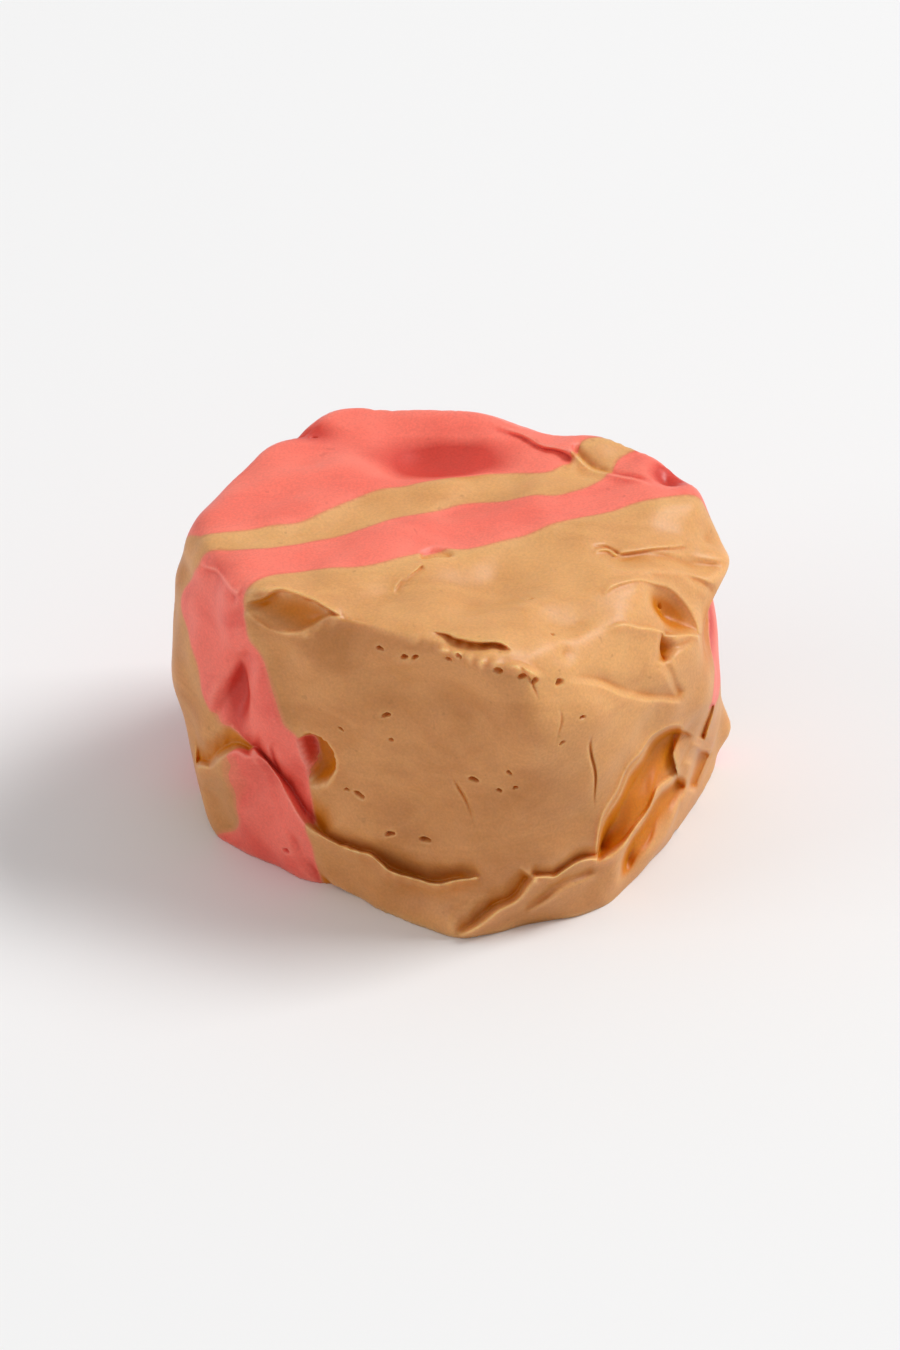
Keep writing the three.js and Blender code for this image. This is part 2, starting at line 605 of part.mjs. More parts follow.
function makeTaffy() {
  const taffy = new THREE.Group();
  const lump = toSolid(lumpGeometry());
  LAYERS.forEach((layer, i) => {
    const solid = cutLayer(lump, SHEETS[i - 1], SHEETS[i]);
    const material = new THREE.MeshStandardMaterial({ color: layer.color, roughness: 0.5, metalness: 0 });
    const mesh = new THREE.Mesh(toGeometry(solid), material);
    mesh.name = layer.name;
    taffy.add(mesh);
  });
  // The origin is under the middle of the lump.
  const middle = new THREE.Box3().setFromObject(taffy).getCenter(new THREE.Vector3());
  taffy.position.set(-middle.x, -middle.y, 0);
  return taffy;
}

export default makeTaffy();
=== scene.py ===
"""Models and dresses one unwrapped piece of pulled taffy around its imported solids.

The chunk is tan candy with coral pink bands through it. It was twisted up in paper, which
pressed it into a squat lump with blunt corners, a thumbed rim, a lip folded up along its foot
and pleats where the paper was gathered.

The shape is worked out in millimetres, in the lump's own space: the front faces -Y, +Z is up
and the lump rests on z = 0. What reaches Blender is in metres, centred where the solids are.
"""

from __future__ import annotations

import logging
import math
from dataclasses import dataclass, field
from enum import Enum

import bmesh
import bpy
import numpy as np
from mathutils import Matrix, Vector
from mathutils.kdtree import KDTree

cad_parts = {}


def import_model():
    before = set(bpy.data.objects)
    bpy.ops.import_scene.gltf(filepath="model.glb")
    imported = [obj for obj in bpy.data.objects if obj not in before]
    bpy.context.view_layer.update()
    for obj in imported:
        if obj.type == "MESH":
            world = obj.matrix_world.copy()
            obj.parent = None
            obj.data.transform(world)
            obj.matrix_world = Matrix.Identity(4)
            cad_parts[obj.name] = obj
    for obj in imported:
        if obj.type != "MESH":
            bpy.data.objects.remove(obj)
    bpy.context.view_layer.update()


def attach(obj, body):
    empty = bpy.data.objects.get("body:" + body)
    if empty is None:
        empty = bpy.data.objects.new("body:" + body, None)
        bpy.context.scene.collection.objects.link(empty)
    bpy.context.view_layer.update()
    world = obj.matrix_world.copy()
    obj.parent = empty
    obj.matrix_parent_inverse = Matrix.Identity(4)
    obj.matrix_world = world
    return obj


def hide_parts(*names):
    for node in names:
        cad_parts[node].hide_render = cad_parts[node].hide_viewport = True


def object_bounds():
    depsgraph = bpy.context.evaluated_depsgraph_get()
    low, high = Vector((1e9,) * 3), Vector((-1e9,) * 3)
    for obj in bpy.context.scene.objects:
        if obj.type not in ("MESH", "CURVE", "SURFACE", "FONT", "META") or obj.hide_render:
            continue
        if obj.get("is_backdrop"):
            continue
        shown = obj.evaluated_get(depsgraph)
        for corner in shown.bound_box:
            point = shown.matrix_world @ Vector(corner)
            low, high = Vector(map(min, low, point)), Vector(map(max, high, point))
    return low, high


Array = np.ndarray
Pair = tuple[float, float]
Socket = bpy.types.NodeSocket

LOG = logging.getLogger("taffy")
MM = 0.001
FULL_TURN = 2 * math.pi

CORE = (0.0, 0.0, 8.5)  # the middle of the lump, from which every side is measured
CRISPNESS = 26.0  # how sharply two sides meet


def smooth(t: Array) -> Array:
    """Runs from 0 to 1 with level ends, and stays there outside."""
    t = np.clip(t, 0.0, 1.0)
    return t * t * (3.0 - 2.0 * t)


def bell(t: Array) -> Array:
    """A bell curve of height 1."""
    return np.exp(-t * t)


def compass(turn: float, tilt: float) -> Array:
    """A direction from degrees round from the front towards +X and degrees above level."""
    t, e = math.radians(turn), math.radians(tilt)
    return np.array([math.sin(t) * math.cos(e), -math.cos(t) * math.cos(e), math.sin(e)])


# ---- the plain lump


@dataclass(frozen=True)
class Side:
    """One side of the lump: the way it faces, and how far it lies from the middle."""

    turn: float
    tilt: float
    reach: float


SIDES = (
    Side(45, 87, 8.5),  # top
    Side(0, -90, 9.0),  # underside
    Side(-21, 4, 8.9),  # front
    Side(-35, -5, 9.6),  # front lip
    Side(20, -6, 11.5),  # front foot
    Side(50, 4, 11.9),  # front right
    Side(64, -11, 12.4),  # right foot
    Side(92, 2, 13.6),  # right
    Side(132, 7, 14.0),  # back right
    Side(167, 8, 11.3),  # back
    Side(-138, 8, 13.1),  # back left
    Side(-119, 8, 13.6),  # upper left
    Side(-100, 45, 14.7),  # top left
    Side(-58, 3, 11.8),  # left
    Side(-90, -12, 13.75),  # far left
    Side(34, 16, 12.2),  # brow
    Side(62, 42, 12.1),  # shoulder
    Side(170, -20, 11.8),  # back foot
)


@dataclass(frozen=True)
class Sight:
    """Where the lump is looked at from, to lay a mark out on it.

    Points are drawn as (across, up) in millimetres on the plane through the middle that
    faces the eye.
    """

    turn: float
    rise: float
    distance: float = 600.0

    def axes(self) -> tuple[Array, Array, Array]:
        """Returns the directions that are right, up and towards the eye."""
        back = compass(self.turn, self.rise)
        t = math.radians(self.turn)
        right = np.array([math.cos(t), math.sin(t), 0.0])
        return right, np.cross(back, right), back

    def draw(self, points: Array) -> Array:
        """Where points are drawn, as (across, up, 0) in millimetres."""
        right, up, back = self.axes()
        away = points - CORE
        scale = self.distance / (self.distance - away @ back)
        return np.stack([away @ right * scale, away @ up * scale, 0 * scale], 1)


FRONT = Sight(0, 35)
RIGHT = Sight(90, 5)
LEFT = Sight(-90, 5)
BACK = Sight(180, 12)
UNDER = Sight(0, -70)
LEFT_BACK = Sight(-135, 10)


@dataclass(frozen=True)
class Lump:
    """The plain lump, before any mark: its sides meet in blunt corners."""

    SEARCH_REACH = 22.0  # how far before and behind the middle a line of sight is searched
    SEARCH_STEP = 0.25
    SEARCH_HALVINGS = 16
    EDGE_SHARES = np.linspace(1.0, 0.8, 41)  # how far a point outside is drawn to the middle

    sides: tuple[Side, ...] = SIDES
    crispness: float = CRISPNESS

    def facings(self) -> Array:
        """Each side's outward direction, divided by its distance from the middle."""
        return np.array([compass(s.turn, s.tilt) / s.reach for s in self.sides])

    def level(self, points: Array) -> Array:
        """Below 1 inside the lump, 1 on its skin and above 1 outside."""
        near = np.maximum((points - CORE) @ self.facings().T, 0.0)
        return (near**self.crispness).sum(-1) ** (1.0 / self.crispness)

    def outwards(self, points: Array) -> Array:
        """The way that the skin faces at each point."""
        near = np.maximum((points - CORE) @ self.facings().T, 0.0)
        facing = (near ** (self.crispness - 1.0)) @ self.facings()
        return facing / np.linalg.norm(facing, axis=-1, keepdims=True)

    def skin(self, headings: Array) -> Array:
        """Where each heading from the middle leaves the lump."""
        return headings / self.level(headings + CORE)[:, None] + CORE

    def seen(self, drawn: Array, sight: Sight) -> Array:
        """Lays drawn points on the skin.

        Args:
            drawn: The points, as (across, up) in millimetres.
            sight: Where they are drawn as seen from.

        Returns:
            The points where each line of sight first meets the lump, without those that miss.
        """
        right, up, back = sight.axes()
        target = np.asarray(CORE) + drawn[:, :1] * right + drawn[:, 1:] * up
        ray = target - (np.asarray(CORE) + back * sight.distance)
        ray /= np.linalg.norm(ray, axis=1, keepdims=True)
        far = np.full(len(drawn), -self.SEARCH_REACH)
        for _ in range(int(2 * self.SEARCH_REACH / self.SEARCH_STEP)):
            outside = self.level(target + ray * far[:, None]) > 1.0
            far[outside] += self.SEARCH_STEP
        near = far - self.SEARCH_STEP
        for _ in range(self.SEARCH_HALVINGS):
            middle = 0.5 * (near + far)
            outside = self.level(target + ray * middle[:, None]) > 1.0
            near = np.where(outside, middle, near)
            far = np.where(outside, far, middle)
        met = far < self.SEARCH_REACH - self.SEARCH_STEP
        return (target + ray * far[:, None])[met]

    def nearest_seen(self, drawn: Pair, sight: Sight) -> Array:
        """Lays one drawn point on the skin, at the lump's edge if it falls outside."""
        for share in self.EDGE_SHARES:
            found = self.seen(np.array([drawn], float) * share, sight)
            if len(found):
                return found[0]
        raise ValueError(f"{drawn} is nowhere near the lump")


# ---- marks in the skin


@dataclass(frozen=True)
class Line:
    """A line drawn on the skin, through knots."""

    RUNS = 8  # short straight runs from knot to knot

    path: tuple[Pair, ...]
    easing: int = field(default=24, kw_only=True)  # times it is smoothed
    sight: Sight = field(default=FRONT, kw_only=True)

    def trace(self, lump: Lump) -> Array:
        """The line as short runs on the skin."""
        knots = np.array(self.path, float)
        knots = np.vstack([2 * knots[0] - knots[1], knots, 2 * knots[-1] - knots[-2]])
        t = np.linspace(0, 1, self.RUNS, endpoint=False)[:, None]
        drawn = [
            0.5 * (2 * b + (c - a) * t + (2 * a - 5 * b + 4 * c - d) * t**2
                   + (3 * b - a - 3 * c + d) * t**3)
            for a, b, c, d in zip(knots, knots[1:], knots[2:], knots[3:])
        ]
        line = lump.seen(np.vstack([*drawn, knots[-2:-1]]), self.sight)
        for _ in range(self.easing):
            line[1:-1] = 0.25 * line[:-2] + 0.5 * line[1:-1] + 0.25 * line[2:]
        return line

    def measure(self, points: Array, lump: Lump) -> tuple[Array, Array, float, Array]:
        """Measures from the line, as drawn.

        Args:
            points: Points of the drawing.
            lump: The plain lump.

        Returns:
            How far to the left of the line each point is, how far along it, the line's
            length, and which way is left there.
        """
        trace = self.sight.draw(self.trace(lump))
        best = np.full(len(points), np.inf)
        side, along, left = np.zeros(len(points)), np.zeros(len(points)), np.zeros_like(points)
        start = 0.0
        for a, b in zip(trace, trace[1:]):
            length = float(np.linalg.norm(b - a))
            if length == 0.0:
                continue
            heading = (b - a) / length
            t = np.clip((points - a) @ heading, 0.0, length)
            away = points - a - t[:, None] * heading
            distance = np.linalg.norm(away, axis=1)
            leftwards = np.array([-heading[1], heading[0], 0.0])
            closer = distance < best
            best = np.where(closer, distance, best)
            side = np.where(closer, np.sign(away @ leftwards), side)
            along = np.where(closer, start + t, along)
            left[closer] = leftwards
            start += length
        return best * side, along, start, left

    def near(self, points: Array, normals: Array, lump: Lump, reach: float) -> Array:
        """The indices of the points within reach of the line, on the side it is seen on."""
        trace = self.trace(lump)
        inside = ((points > trace.min(0) - reach) & (points < trace.max(0) + reach)).all(1)
        return np.flatnonzero(inside & (normals @ self.sight.axes()[2] > 0))


FACING = 0.2  # how squarely the skin must face the eye for a mark to take in full


@dataclass(frozen=True)
class Fold(Line):
    """A step along a line, where the candy was folded, pleated or creased.

    On the left of the line the skin comes towards the eye by left[0], fading over left[1],
    and on the right by right[0] over right[1]. The step between them is edge wide. lean
    pushes the right-hand lip over to the left, and each end dies away over its fade. ragged
    is how much its height comes and goes along the way, as a share.
    """

    WIDTHS = 3  # how far out its sides are felt, and its lean, in their own widths
    MARGIN = 1  # how many millimetres further out it is looked for

    left: Pair = (0.0, 1.0)
    right: Pair = (0.0, 1.0)
    edge: float = 0.12
    fade: Pair = (0.6, 0.6)
    lean: float = 0.0
    ragged: float = 0.12

    def press(self, points: Array, normals: Array, lump: Lump) -> tuple[Array, Array]:
        """Works out how the fold moves points of the skin.

        Args:
            points: Points on the plain lump.
            normals: The way it faces at each.
            lump: The plain lump.

        Returns:
            The indices of the points it reaches, and how far each of them moves.
        """
        reach = self.WIDTHS * max(self.left[1], self.right[1]) + self.MARGIN
        near = self.near(points, normals, lump, reach)
        p = points[near]
        right, up, back = self.sight.axes()
        s, along, length, left = self.measure(self.sight.draw(p), lump)
        strength = smooth(along / self.fade[0]) * smooth((length - along) / self.fade[1])
        strength *= 1 + self.ragged * Ripples.unevenness(p)
        strength *= smooth(normals[near] @ back / FACING)
        step = smooth(0.5 + 0.5 * s / self.edge)
        rise = step * self.left[0] * bell(s / self.left[1])
        rise += (1 - step) * self.right[0] * bell(s / self.right[1])
        push = (1 - step) * self.lean * bell(s / (self.WIDTHS * self.edge))
        sideways = left[:, :1] * right + left[:, 1:2] * up
        return near, (back * rise[:, None] + sideways * push[:, None]) * strength[:, None]


@dataclass(frozen=True)
class Hollow:
    """A hollow between two lines: it falls away from its rim and ends under its lip.

    Both lines run the same way, the rim with the hollow on its right and the lip with it on
    its left. The floor is reached at run, as a share of the way across, and by the lip it
    has risen again, to lip_share of its depth. It dies away over narrow, where the lines
    meet, and over fade at either end.
    """

    REACH = 2.0  # how far from the rim it is looked for, in millimetres
    HAIR = 1e-6  # keeps a width of nothing from being divided by
    WHOLE = 1.001  # the whole way across, and a hair more for the same reason

    rim: Line
    lip: Line
    depth: float
    run: float = 0.75
    lip_share: float = 1.0
    edge: float = 0.08
    narrow: float = 0.8
    fade: Pair = (0.01, 0.01)

    def press(self, points: Array, normals: Array, lump: Lump) -> tuple[Array, Array]:
        """Works out how the hollow moves points of the skin, as Fold.press does."""
        sight = self.rim.sight
        back = sight.axes()[2]
        near = self.rim.near(points, normals, lump, self.REACH)
        drawn = sight.draw(points[near])
        from_rim, along, length, _ = self.rim.measure(drawn, lump)
        from_lip = self.lip.measure(drawn, lump)[0]
        a, b = np.maximum(-from_rim, 0.0), np.maximum(from_lip, 0.0)
        across = a / (a + b + self.HAIR)
        rising = smooth((across - self.run) / (self.WHOLE - self.run))
        floor = smooth(across / self.run) * (1 - (1 - self.lip_share) * rising)
        floor *= smooth((a + b) / self.narrow) * smooth(0.5 + 0.5 * from_lip / self.edge)
        floor *= smooth(along / self.fade[0]) * smooth((length - along) / self.fade[1])
        floor *= smooth(normals[near] @ back / FACING)
        return near, back * (-self.depth * floor)[:, None]


@dataclass(frozen=True)
class Patch:
    """An oval patch of the skin: its middle, its half width and height, and its turn."""

    at: Pair
    radii: Pair
    depth: float
    turn: float = 0.0
    sight: Sight = FRONT

    def frame(self, lump: Lump) -> tuple[Array, Array, Array, Array]:
        """Returns the patch's middle and its directions across, along and outwards."""
        middle = lump.nearest_seen(self.at, self.sight)
        facing = lump.outwards(middle[None])[0]
        right = self.sight.axes()[0]
        level = right - facing * (right @ facing)
        level /= np.linalg.norm(level)
        upward = np.cross(facing, level)
        c, s = math.cos(math.radians(self.turn)), math.sin(math.radians(self.turn))
        return middle, level * c + upward * s, upward * c - level * s, facing


@dataclass(frozen=True)
class Dent(Patch):
    """A hollow. A round one has a rim and a floor, and any other fades out all round."""

    REACH = 2.5  # how far out it is felt, and
    FALL = 1.3  # how fast it fades, as shares of its radii
    ROUND_RIM = 1.15  # where a round one starts, and
    ROUND_WALL = 0.4  # how wide its wall is, as shares of its radii
    ROUND_FLOOR = 0.35  # how much its floor is bowed
    OUT_OF_ROUND = (0.1, 0.07)  # how oval and how three-sided its rim is

    is_round: bool = False

    def press(self, points: Array, normals: Array, lump: Lump) -> tuple[Array, Array]:
        """Works out how the dent moves points of the skin, as Fold.press does."""
        middle, across, along, facing = self.frame(lump)
        reach = self.REACH * max(self.radii)
        near = np.flatnonzero(np.linalg.norm(points - middle, axis=1) < reach)
        away = points[near] - middle
        span = np.sqrt(
            (away @ across / self.radii[0]) ** 2
            + (away @ along / self.radii[1]) ** 2
            + (away @ facing / (2 * max(self.radii))) ** 2
        )
        if self.is_round:
            angle = np.arctan2(away @ along, away @ across)
            oval, three = self.OUT_OF_ROUND
            span *= 1 + oval * np.sin(2 * angle + self.turn) + three * np.sin(3 * angle)
            shape = smooth((self.ROUND_RIM - span) / self.ROUND_WALL)
            shape *= np.clip(1 - self.ROUND_FLOOR * span**2, 0, 1)
        else:
            shape = bell(self.FALL * span)
        return near, normals[near] * (-self.depth * shape)[:, None]


@dataclass(frozen=True)
class Thumbprint(Patch):
    """A hollow left by a blunt end: all that stood above its floor was pushed down to it.

    bluntness is how flat the floor is, and straight how far along its width a straight wall
    stands, in millimetres from the middle, facing towards straight_turn.
    """

    REACH = 4  # the square of how far out it is felt, as a share of its radii
    BELOW = 2  # how far below the skin it is felt, as a share of its depth
    WALL_SLOPE = 7  # how much the straight wall rises for each millimetre across
    WALL_FOOT = 0.5  # how far down it stands, as a share of the depth
    HARD = 30  # the most that soft's curve is followed, in widths of it

    bluntness: float = 1.0
    soft: float = 0.12
    straight: float | None = None
    straight_turn: float = 0.0

    def push(self, points: Array, lump: Lump) -> None:
        """Pushes points of the skin down to the floor, in place."""
        middle, across, along, facing = self.frame(lump)
        away = points - middle
        u, v, high = away @ across, away @ along, away @ facing
        span = (u / self.radii[0]) ** 2 + (v / self.radii[1]) ** 2
        inside = (span < self.REACH) & (high > -self.BELOW * self.depth)
        floor = -self.depth * (1 - span**self.bluntness)
        if self.straight is not None:
            turn = math.radians(self.straight_turn)
            wall = self.straight - (u * math.cos(turn) + v * math.sin(turn))
            floor = np.maximum(floor, self.WALL_SLOPE * wall - self.WALL_FOOT * self.depth)
        gap = (high - floor) / self.soft
        drop = self.soft * np.logaddexp(0.0, np.clip(gap, -self.HARD, self.HARD))
        drop = np.where(gap > self.HARD, high - floor, drop)
        points[inside] -= facing * drop[inside, None]


# Each fold's path, left, right, edge and fade.
FOLDS: dict[str, Fold] = {
    "foot_shelf": Fold(
        ((-13.9, -4.55), (-12.5, -4.45), (-11.9, -4.35), (-11.4, -3.95), (-11, -3.6),
         (-10.5, -3.5), (-9.9, -3.85), (-9.2, -4.6), (-8.5, -5.4), (-7.75, -6.25),
         (-6.9, -7.15), (-6, -8.05)),
        (-0.95, 0.9), (0.35, 0.8), 0.26, (0.2, 1.2), ragged=0.06),
    "foot_lip": Fold(
        ((-7.1, -7), (-6, -8.05), (-5.25, -8.7), (-4.6, -8.9), (-4.05, -9), (-3.6, -9.45),
         (-3, -9.95), (-2.3, -10.25), (-1.5, -10.35), (-0.5, -10.45), (0.5, -10.4),
         (1.65, -10)),
        (-0.7, 0.6), (0.3, 0.5), 0.08, (1.2, 1.4), ragged=0.04),
    "foot_flange": Fold(
        ((-5.6, -8.4), (-4.7, -8.85), (-4.1, -8.95), (-3.6, -9.4), (-3, -9.95),
         (-2.3, -10.25), (-1.5, -10.35), (-0.5, -10.45), (0.5, -10.4), (1.7, -9.95)),
        (0.2, 0.1), (0.5, 0.24), 0.05, (0.5, 0.5), lean=0.05,
        ragged=0.4, easing=6),
    "foot_valley": Fold(
        ((0.25, -12.95), (1.4, -12.2), (2.4, -11.55), (3.25, -11), (3.75, -10.4),
         (4.15, -9.9)),
        (-0.75, 0.6), (0.45, 0.45), 0.24, (0.9, 0.3)),
    "foot_flap": Fold(
        ((4, -9.9), (4.75, -9.95), (5.05, -10.05), (5.5, -9.8), (6.15, -9.4), (6.9, -9.2),
         (7.8, -9.15)),
        (-0.55, 0.45), (0.4, 0.35), 0.14, (0.3, 0.6), ragged=0.2,
        easing=16),
    "flap_wrinkle": Fold(
        ((3.6, -12), (4, -11.65), (4.75, -10.9), (5.5, -10.5), (6.75, -10.15),
         (7.6, -9.8)),
        (-0.35, 0.4), (0.2, 0.4), 0.3, (0.6, 0.6)),
    "pocket_rim": Fold(
        ((7.35, -9.2), (7.45, -8.2), (7.8, -7), (8.45, -5.7), (9.2, -4.45), (10.1, -3.3),
         (10.95, -2.55), (11.8, -2.65)),
        (0.14, 0.14), (-0.4, 0.5), 0.06, (0.6, 0.4), ragged=0.05),
    "pocket_lip": Fold(
        ((7.4, -9.7), (8, -9.05), (8.7, -8.4), (9.3, -7.65), (9.9, -6.85), (10.35, -5.95),
         (10.95, -5.4), (11.7, -4.9), (12.15, -4.15), (12.55, -3.3)),
        (0.3, 0.16), (0.4, 0.32), 0.12, (0.8, 0.3), ragged=0.05),
    "first_groove": Fold(
        ((8.45, -10.7), (8.8, -9.4), (9.2, -8.5), (9.75, -7.75), (10.25, -6.9),
         (10.75, -6.15), (11.4, -5.5), (11.85, -5.1)),
        (-1.9, 0.26), (-1.9, 0.44), 0.3, (1.6, 0.5), ragged=0),
    "second_pleat": Fold(
        ((11.4, -6.9), (11.8, -5.95), (12.1, -5.05), (12.25, -4.2)),
        (0.5, 0.22), (0.5, 0.2), 0.12, (0.8, 0.4), ragged=0.05),
    "second_groove": Fold(
        ((12.05, -5.9), (12.35, -5.1), (12.6, -4.35), (12.8, -3.7)),
        (-1.8, 0.2), (-1.8, 0.3), 0.2, (0.5, 0.3), ragged=0),
    "lobe_gap": Fold(
        ((12.75, -3.35), (12.85, -2.75), (13, -2), (13.1, -1.35)),
        (-0.9, 0.25), (0.3, 0.2), 0.1, (0.3, 0.2)),
    "rim_crevice": Fold(
        ((-1, 2.25), (-0.3, 1.95), (0.15, 1.7), (1, 1.55), (1.8, 1.5), (2.6, 1.45),
         (3.1, 1.2)),
        (0.14, 0.3), (-0.75, 0.3), 0.06, (1.3, 0.5), ragged=0.2,
        easing=4),
    "rim_bead": Fold(
        ((-0.9, 1.45), (-0.2, 1.15), (1, 0.95), (2.25, 0.65), (3.4, 0.3), (4.3, -0.05),
         (5.1, -0.25)),
        (0.35, 0.22), (0.45, 0.35), 0.1, (0.5, 1.2), ragged=0.5,
        easing=8),
    "rim_edge": Fold(
        ((-7.5, 2.05), (-5.25, 2.65), (-3.75, 2.4), (-2.5, 2.05), (-1.25, 1.75)),
        (0.1, 0.3), (0.12, 0.3), 0.12, (0.4, 0.4)),
    "hollow_wall": Fold(
        ((-10.1, 3.75), (-9.4, 3.65), (-8.95, 3.95), (-8.25, 4.2), (-7.5, 3.85), (-6.8, 3.65),
         (-6.1, 3.3), (-5.5, 3.05)),
        (0.15, 0.4), (-0.3, 0.35), 0.1, (0.4, 0.4), ragged=0.2),
    "hollow_lip": Fold(
        ((-10.2, 3.4), (-9.8, 2.75), (-9.3, 2.25), (-8.5, 2), (-7.6, 2.05), (-6.75, 2.35),
         (-6, 2.85), (-5.35, 3.05)),
        (0.25, 0.2), (0.2, 0.35), 0.12, (0.4, 0.5)),
    "seam_flake": Fold(
        ((-2.9, 4.4), (-2.4, 4.8), (-1.9, 5), (-1.4, 5.5)),
        (0.12, 0.15), (-0.22, 0.2), 0.06, (0.3, 0.3), ragged=0.6,
        easing=4),
    "shoulder_rim": Fold(
        ((5.4, -0.2), (6.4, -0.3), (7.4, -0.35), (8.3, -0.65), (9.3, -1), (10.4, -1.2),
         (11.8, -1.25)),
        (-0.35, 0.6), (0.14, 0.5), 0.24, (2.4, 0.5)),
    "top_crease": Fold(
        ((1.6, 12.5), (2.75, 12.05), (3.7, 11.85), (4.5, 11.5), (5.45, 11.25), (6.2, 10.9)),
        (0.45, 0.5), (-0.2, 0.5), 0.1, (3.5, 0.2)),
    "top_pleat": Fold(
        ((5.9, 11.4), (6.3, 11), (7.1, 10.6), (7.9, 10.38), (8.6, 10.15), (9.4, 9.9),
         (10.2, 9.4)),
        (-0.35, 0.25), (0.25, 0.22), 0.07, (0.3, 0.8)),
    "spoon_edge": Fold(
        ((7.5, 3.9), (8, 4.3), (8.65, 4.55), (9.65, 4.65), (10.65, 4.6), (11.35, 4.4),
         (11.9, 3.95), (12.35, 3.2), (12.6, 2.45), (12.65, 1.95)),
        (0.25, 0.25), (0.1, 0.12), 0.08, (0.8, 0.2)),
    "spoon_lip": Fold(
        ((7.6, 2.2), (8.65, 2.6), (9.45, 2.4), (10.35, 2.2), (11.2, 2.05), (12.1, 1.95),
         (12.75, 1.9)),
        (0.1, 0.1), (0.25, 0.35), 0.06, (1, 0.2)),
    "outer_ridge": Fold(
        ((7.5, 5.1), (9, 5.2), (10.5, 5.2), (12, 4.9), (13.1, 4.3)),
        (0.15, 0.3), (0.12, 0.25), 0.2, (1, 0.3)),
    "band_valley": Fold(
        ((7.6, 5.75), (9, 5.85), (10.5, 5.85), (12, 5.65), (13.3, 5.1)),
        (-0.42, 0.35), (-0.42, 0.4), 0.3, (1.6, 0.6), ragged=0.05),
    "outer_groove": Fold(
        ((11.5, 5.1), (12.25, 4.9), (12.8, 4.55), (13.2, 4.15), (13.5, 3.65)),
        (-0.1, 0.2), (-0.4, 0.25), 0.12, (0.8, 0.1)),
    "torn_lip": Fold(
        ((7, 6.15), (7.4, 6.35), (7.9, 6.45), (8.3, 6.25), (8.6, 6.1)),
        (-0.2, 0.16), (0.25, 0.16), 0.06, (0.3, 0.3), ragged=0.3,
        easing=4),
    "shoulder_line": Fold(
        ((8.3, 6.2), (9.65, 6.25), (11.2, 6.45), (12.2, 6.6)),
        (0.1, 0.4), (-0.14, 0.35), 0.12, (0.5, 0.6)),
    "crumple_up": Fold(
        ((10.45, 0.45), (10.4, 1), (10.45, 1.6), (10.5, 2.15)),
        (0, 0.3), (-0.5, 0.4), 0.34, (0.3, 0.2), easing=4),
    "crumple_lobe": Fold(
        ((10.45, 0.4), (10.9, 0.9), (11.5, 1.35), (12.1, 1.55), (12.5, 1.35)),
        (-0.3, 0.3), (0.08, 0.4), 0.34, (0.2, 0.8), easing=8),
    "crumple_down": Fold(
        ((10.45, 0.45), (10.8, -0.15), (11.2, -0.7), (11.8, -1.15)),
        (-0.26, 0.4), (0.08, 0.4), 0.3, (0.2, 0.4), easing=8),
    "left_corner": Fold(
        ((-10.35, 3.15), (-9.95, 1.75), (-9.55, 0.15), (-9.1, -1.5), (-8.5, -3), (-8, -4.1)),
        (0.25, 0.5), (0.35, 0.6), 0.25, (1.2, 1.2)),
    "left_valley": Fold(
        ((-10.2, 1.75), (-10.6, 0.65), (-11.15, -0.3), (-11.65, -1.25), (-11.9, -2.5)),
        (-0.3, 0.7), (0.15, 0.6), 0.3, (0.8, 1)),
    "left_rim": Fold(
        ((-12.6, 5.6), (-11.7, 4.9), (-10.9, 4.3), (-10.35, 3.95)),
        (0.3, 0.3), (-0.3, 0.4), 0.12, (0.6, 0.3)),
    "pink_slit": Fold(
        ((-9, -3.3), (-8.8, -3.75), (-8.65, -4.3), (-8.35, -5.05)),
        (-0.2, 0.1), (-0.25, 0.1), 0.08, (0.4, 0.7)),
    "long_crack": Fold(
        ((7, -2.85), (6.95, -3.45), (7.1, -4.1), (7.3, -4.85), (7.4, -5.75), (7.45, -6.95)),
        (-0.15, 0.07), (-0.45, 0.11), 0.05, (1.2, 2.2), easing=4),
    "short_crack": Fold(
        ((0.15, -5), (0.4, -5.6), (0.7, -6.25), (1, -7), (1.2, -7.75)),
        (-0.08, 0.07), (-0.2, 0.09), 0.05, (1, 1.5), easing=4),
    "rim_crack": Fold(
        ((3.25, 0.45), (3.6, 0.05), (4, -0.5), (4.4, -1.4)),
        (-0.2, 0.1), (-0.2, 0.1), 0.08, (0.3, 1.2), easing=4),
    "side_crack": Fold(
        ((5.5, -1.5), (5.6, -2.05), (5.5, -2.65), (5.3, -3.35)),
        (-0.08, 0.07), (-0.1, 0.07), 0.05, (0.7, 1), easing=4),
    "paper_crease_back": Fold(
        ((-11, 4.5), (-6, 1.8), (-1, 1.2), (4, -1.4), (8.5, -3.2)),
        (0.35, 1.1), (-0.45, 0.9), 0.2, (2, 2.5), sight=BACK),
    "paper_crease_low": Fold(
        ((-9.5, -4.2), (-5, -3.4), (-1.5, -5.6), (3, -6)),
        (-0.4, 0.7), (0.35, 1), 0.15, (1.2, 2), sight=BACK),
    "back_corner_pleat": Fold(
        ((7, 6.2), (8.2, 3), (10.4, 0.5), (11.3, -2.5)),
        (0.4, 0.8), (-0.5, 0.7), 0.15, (1, 1.5), sight=BACK),
    "left_back_fold": Fold(
        ((-6.5, -5.5), (-3, -3.6), (0.5, -3.9), (4, -1.6), (6, 1.5)),
        (-0.5, 0.9), (0.5, 0.9), 0.15, (1, 2), lean=0.1, sight=LEFT_BACK),
    "under_fold_left": Fold(
        ((-10, 4), (-6.5, 2.6), (-3.5, 3.2), (-0.5, 1.5)),
        (-0.6, 0.8), (-0.2, 0.8), 0.15, (0.3, 1.6), sight=UNDER),
    "under_fold_right": Fold(
        ((11.5, -2), (8, -1.4), (5.5, 0.4), (2.5, 0)),
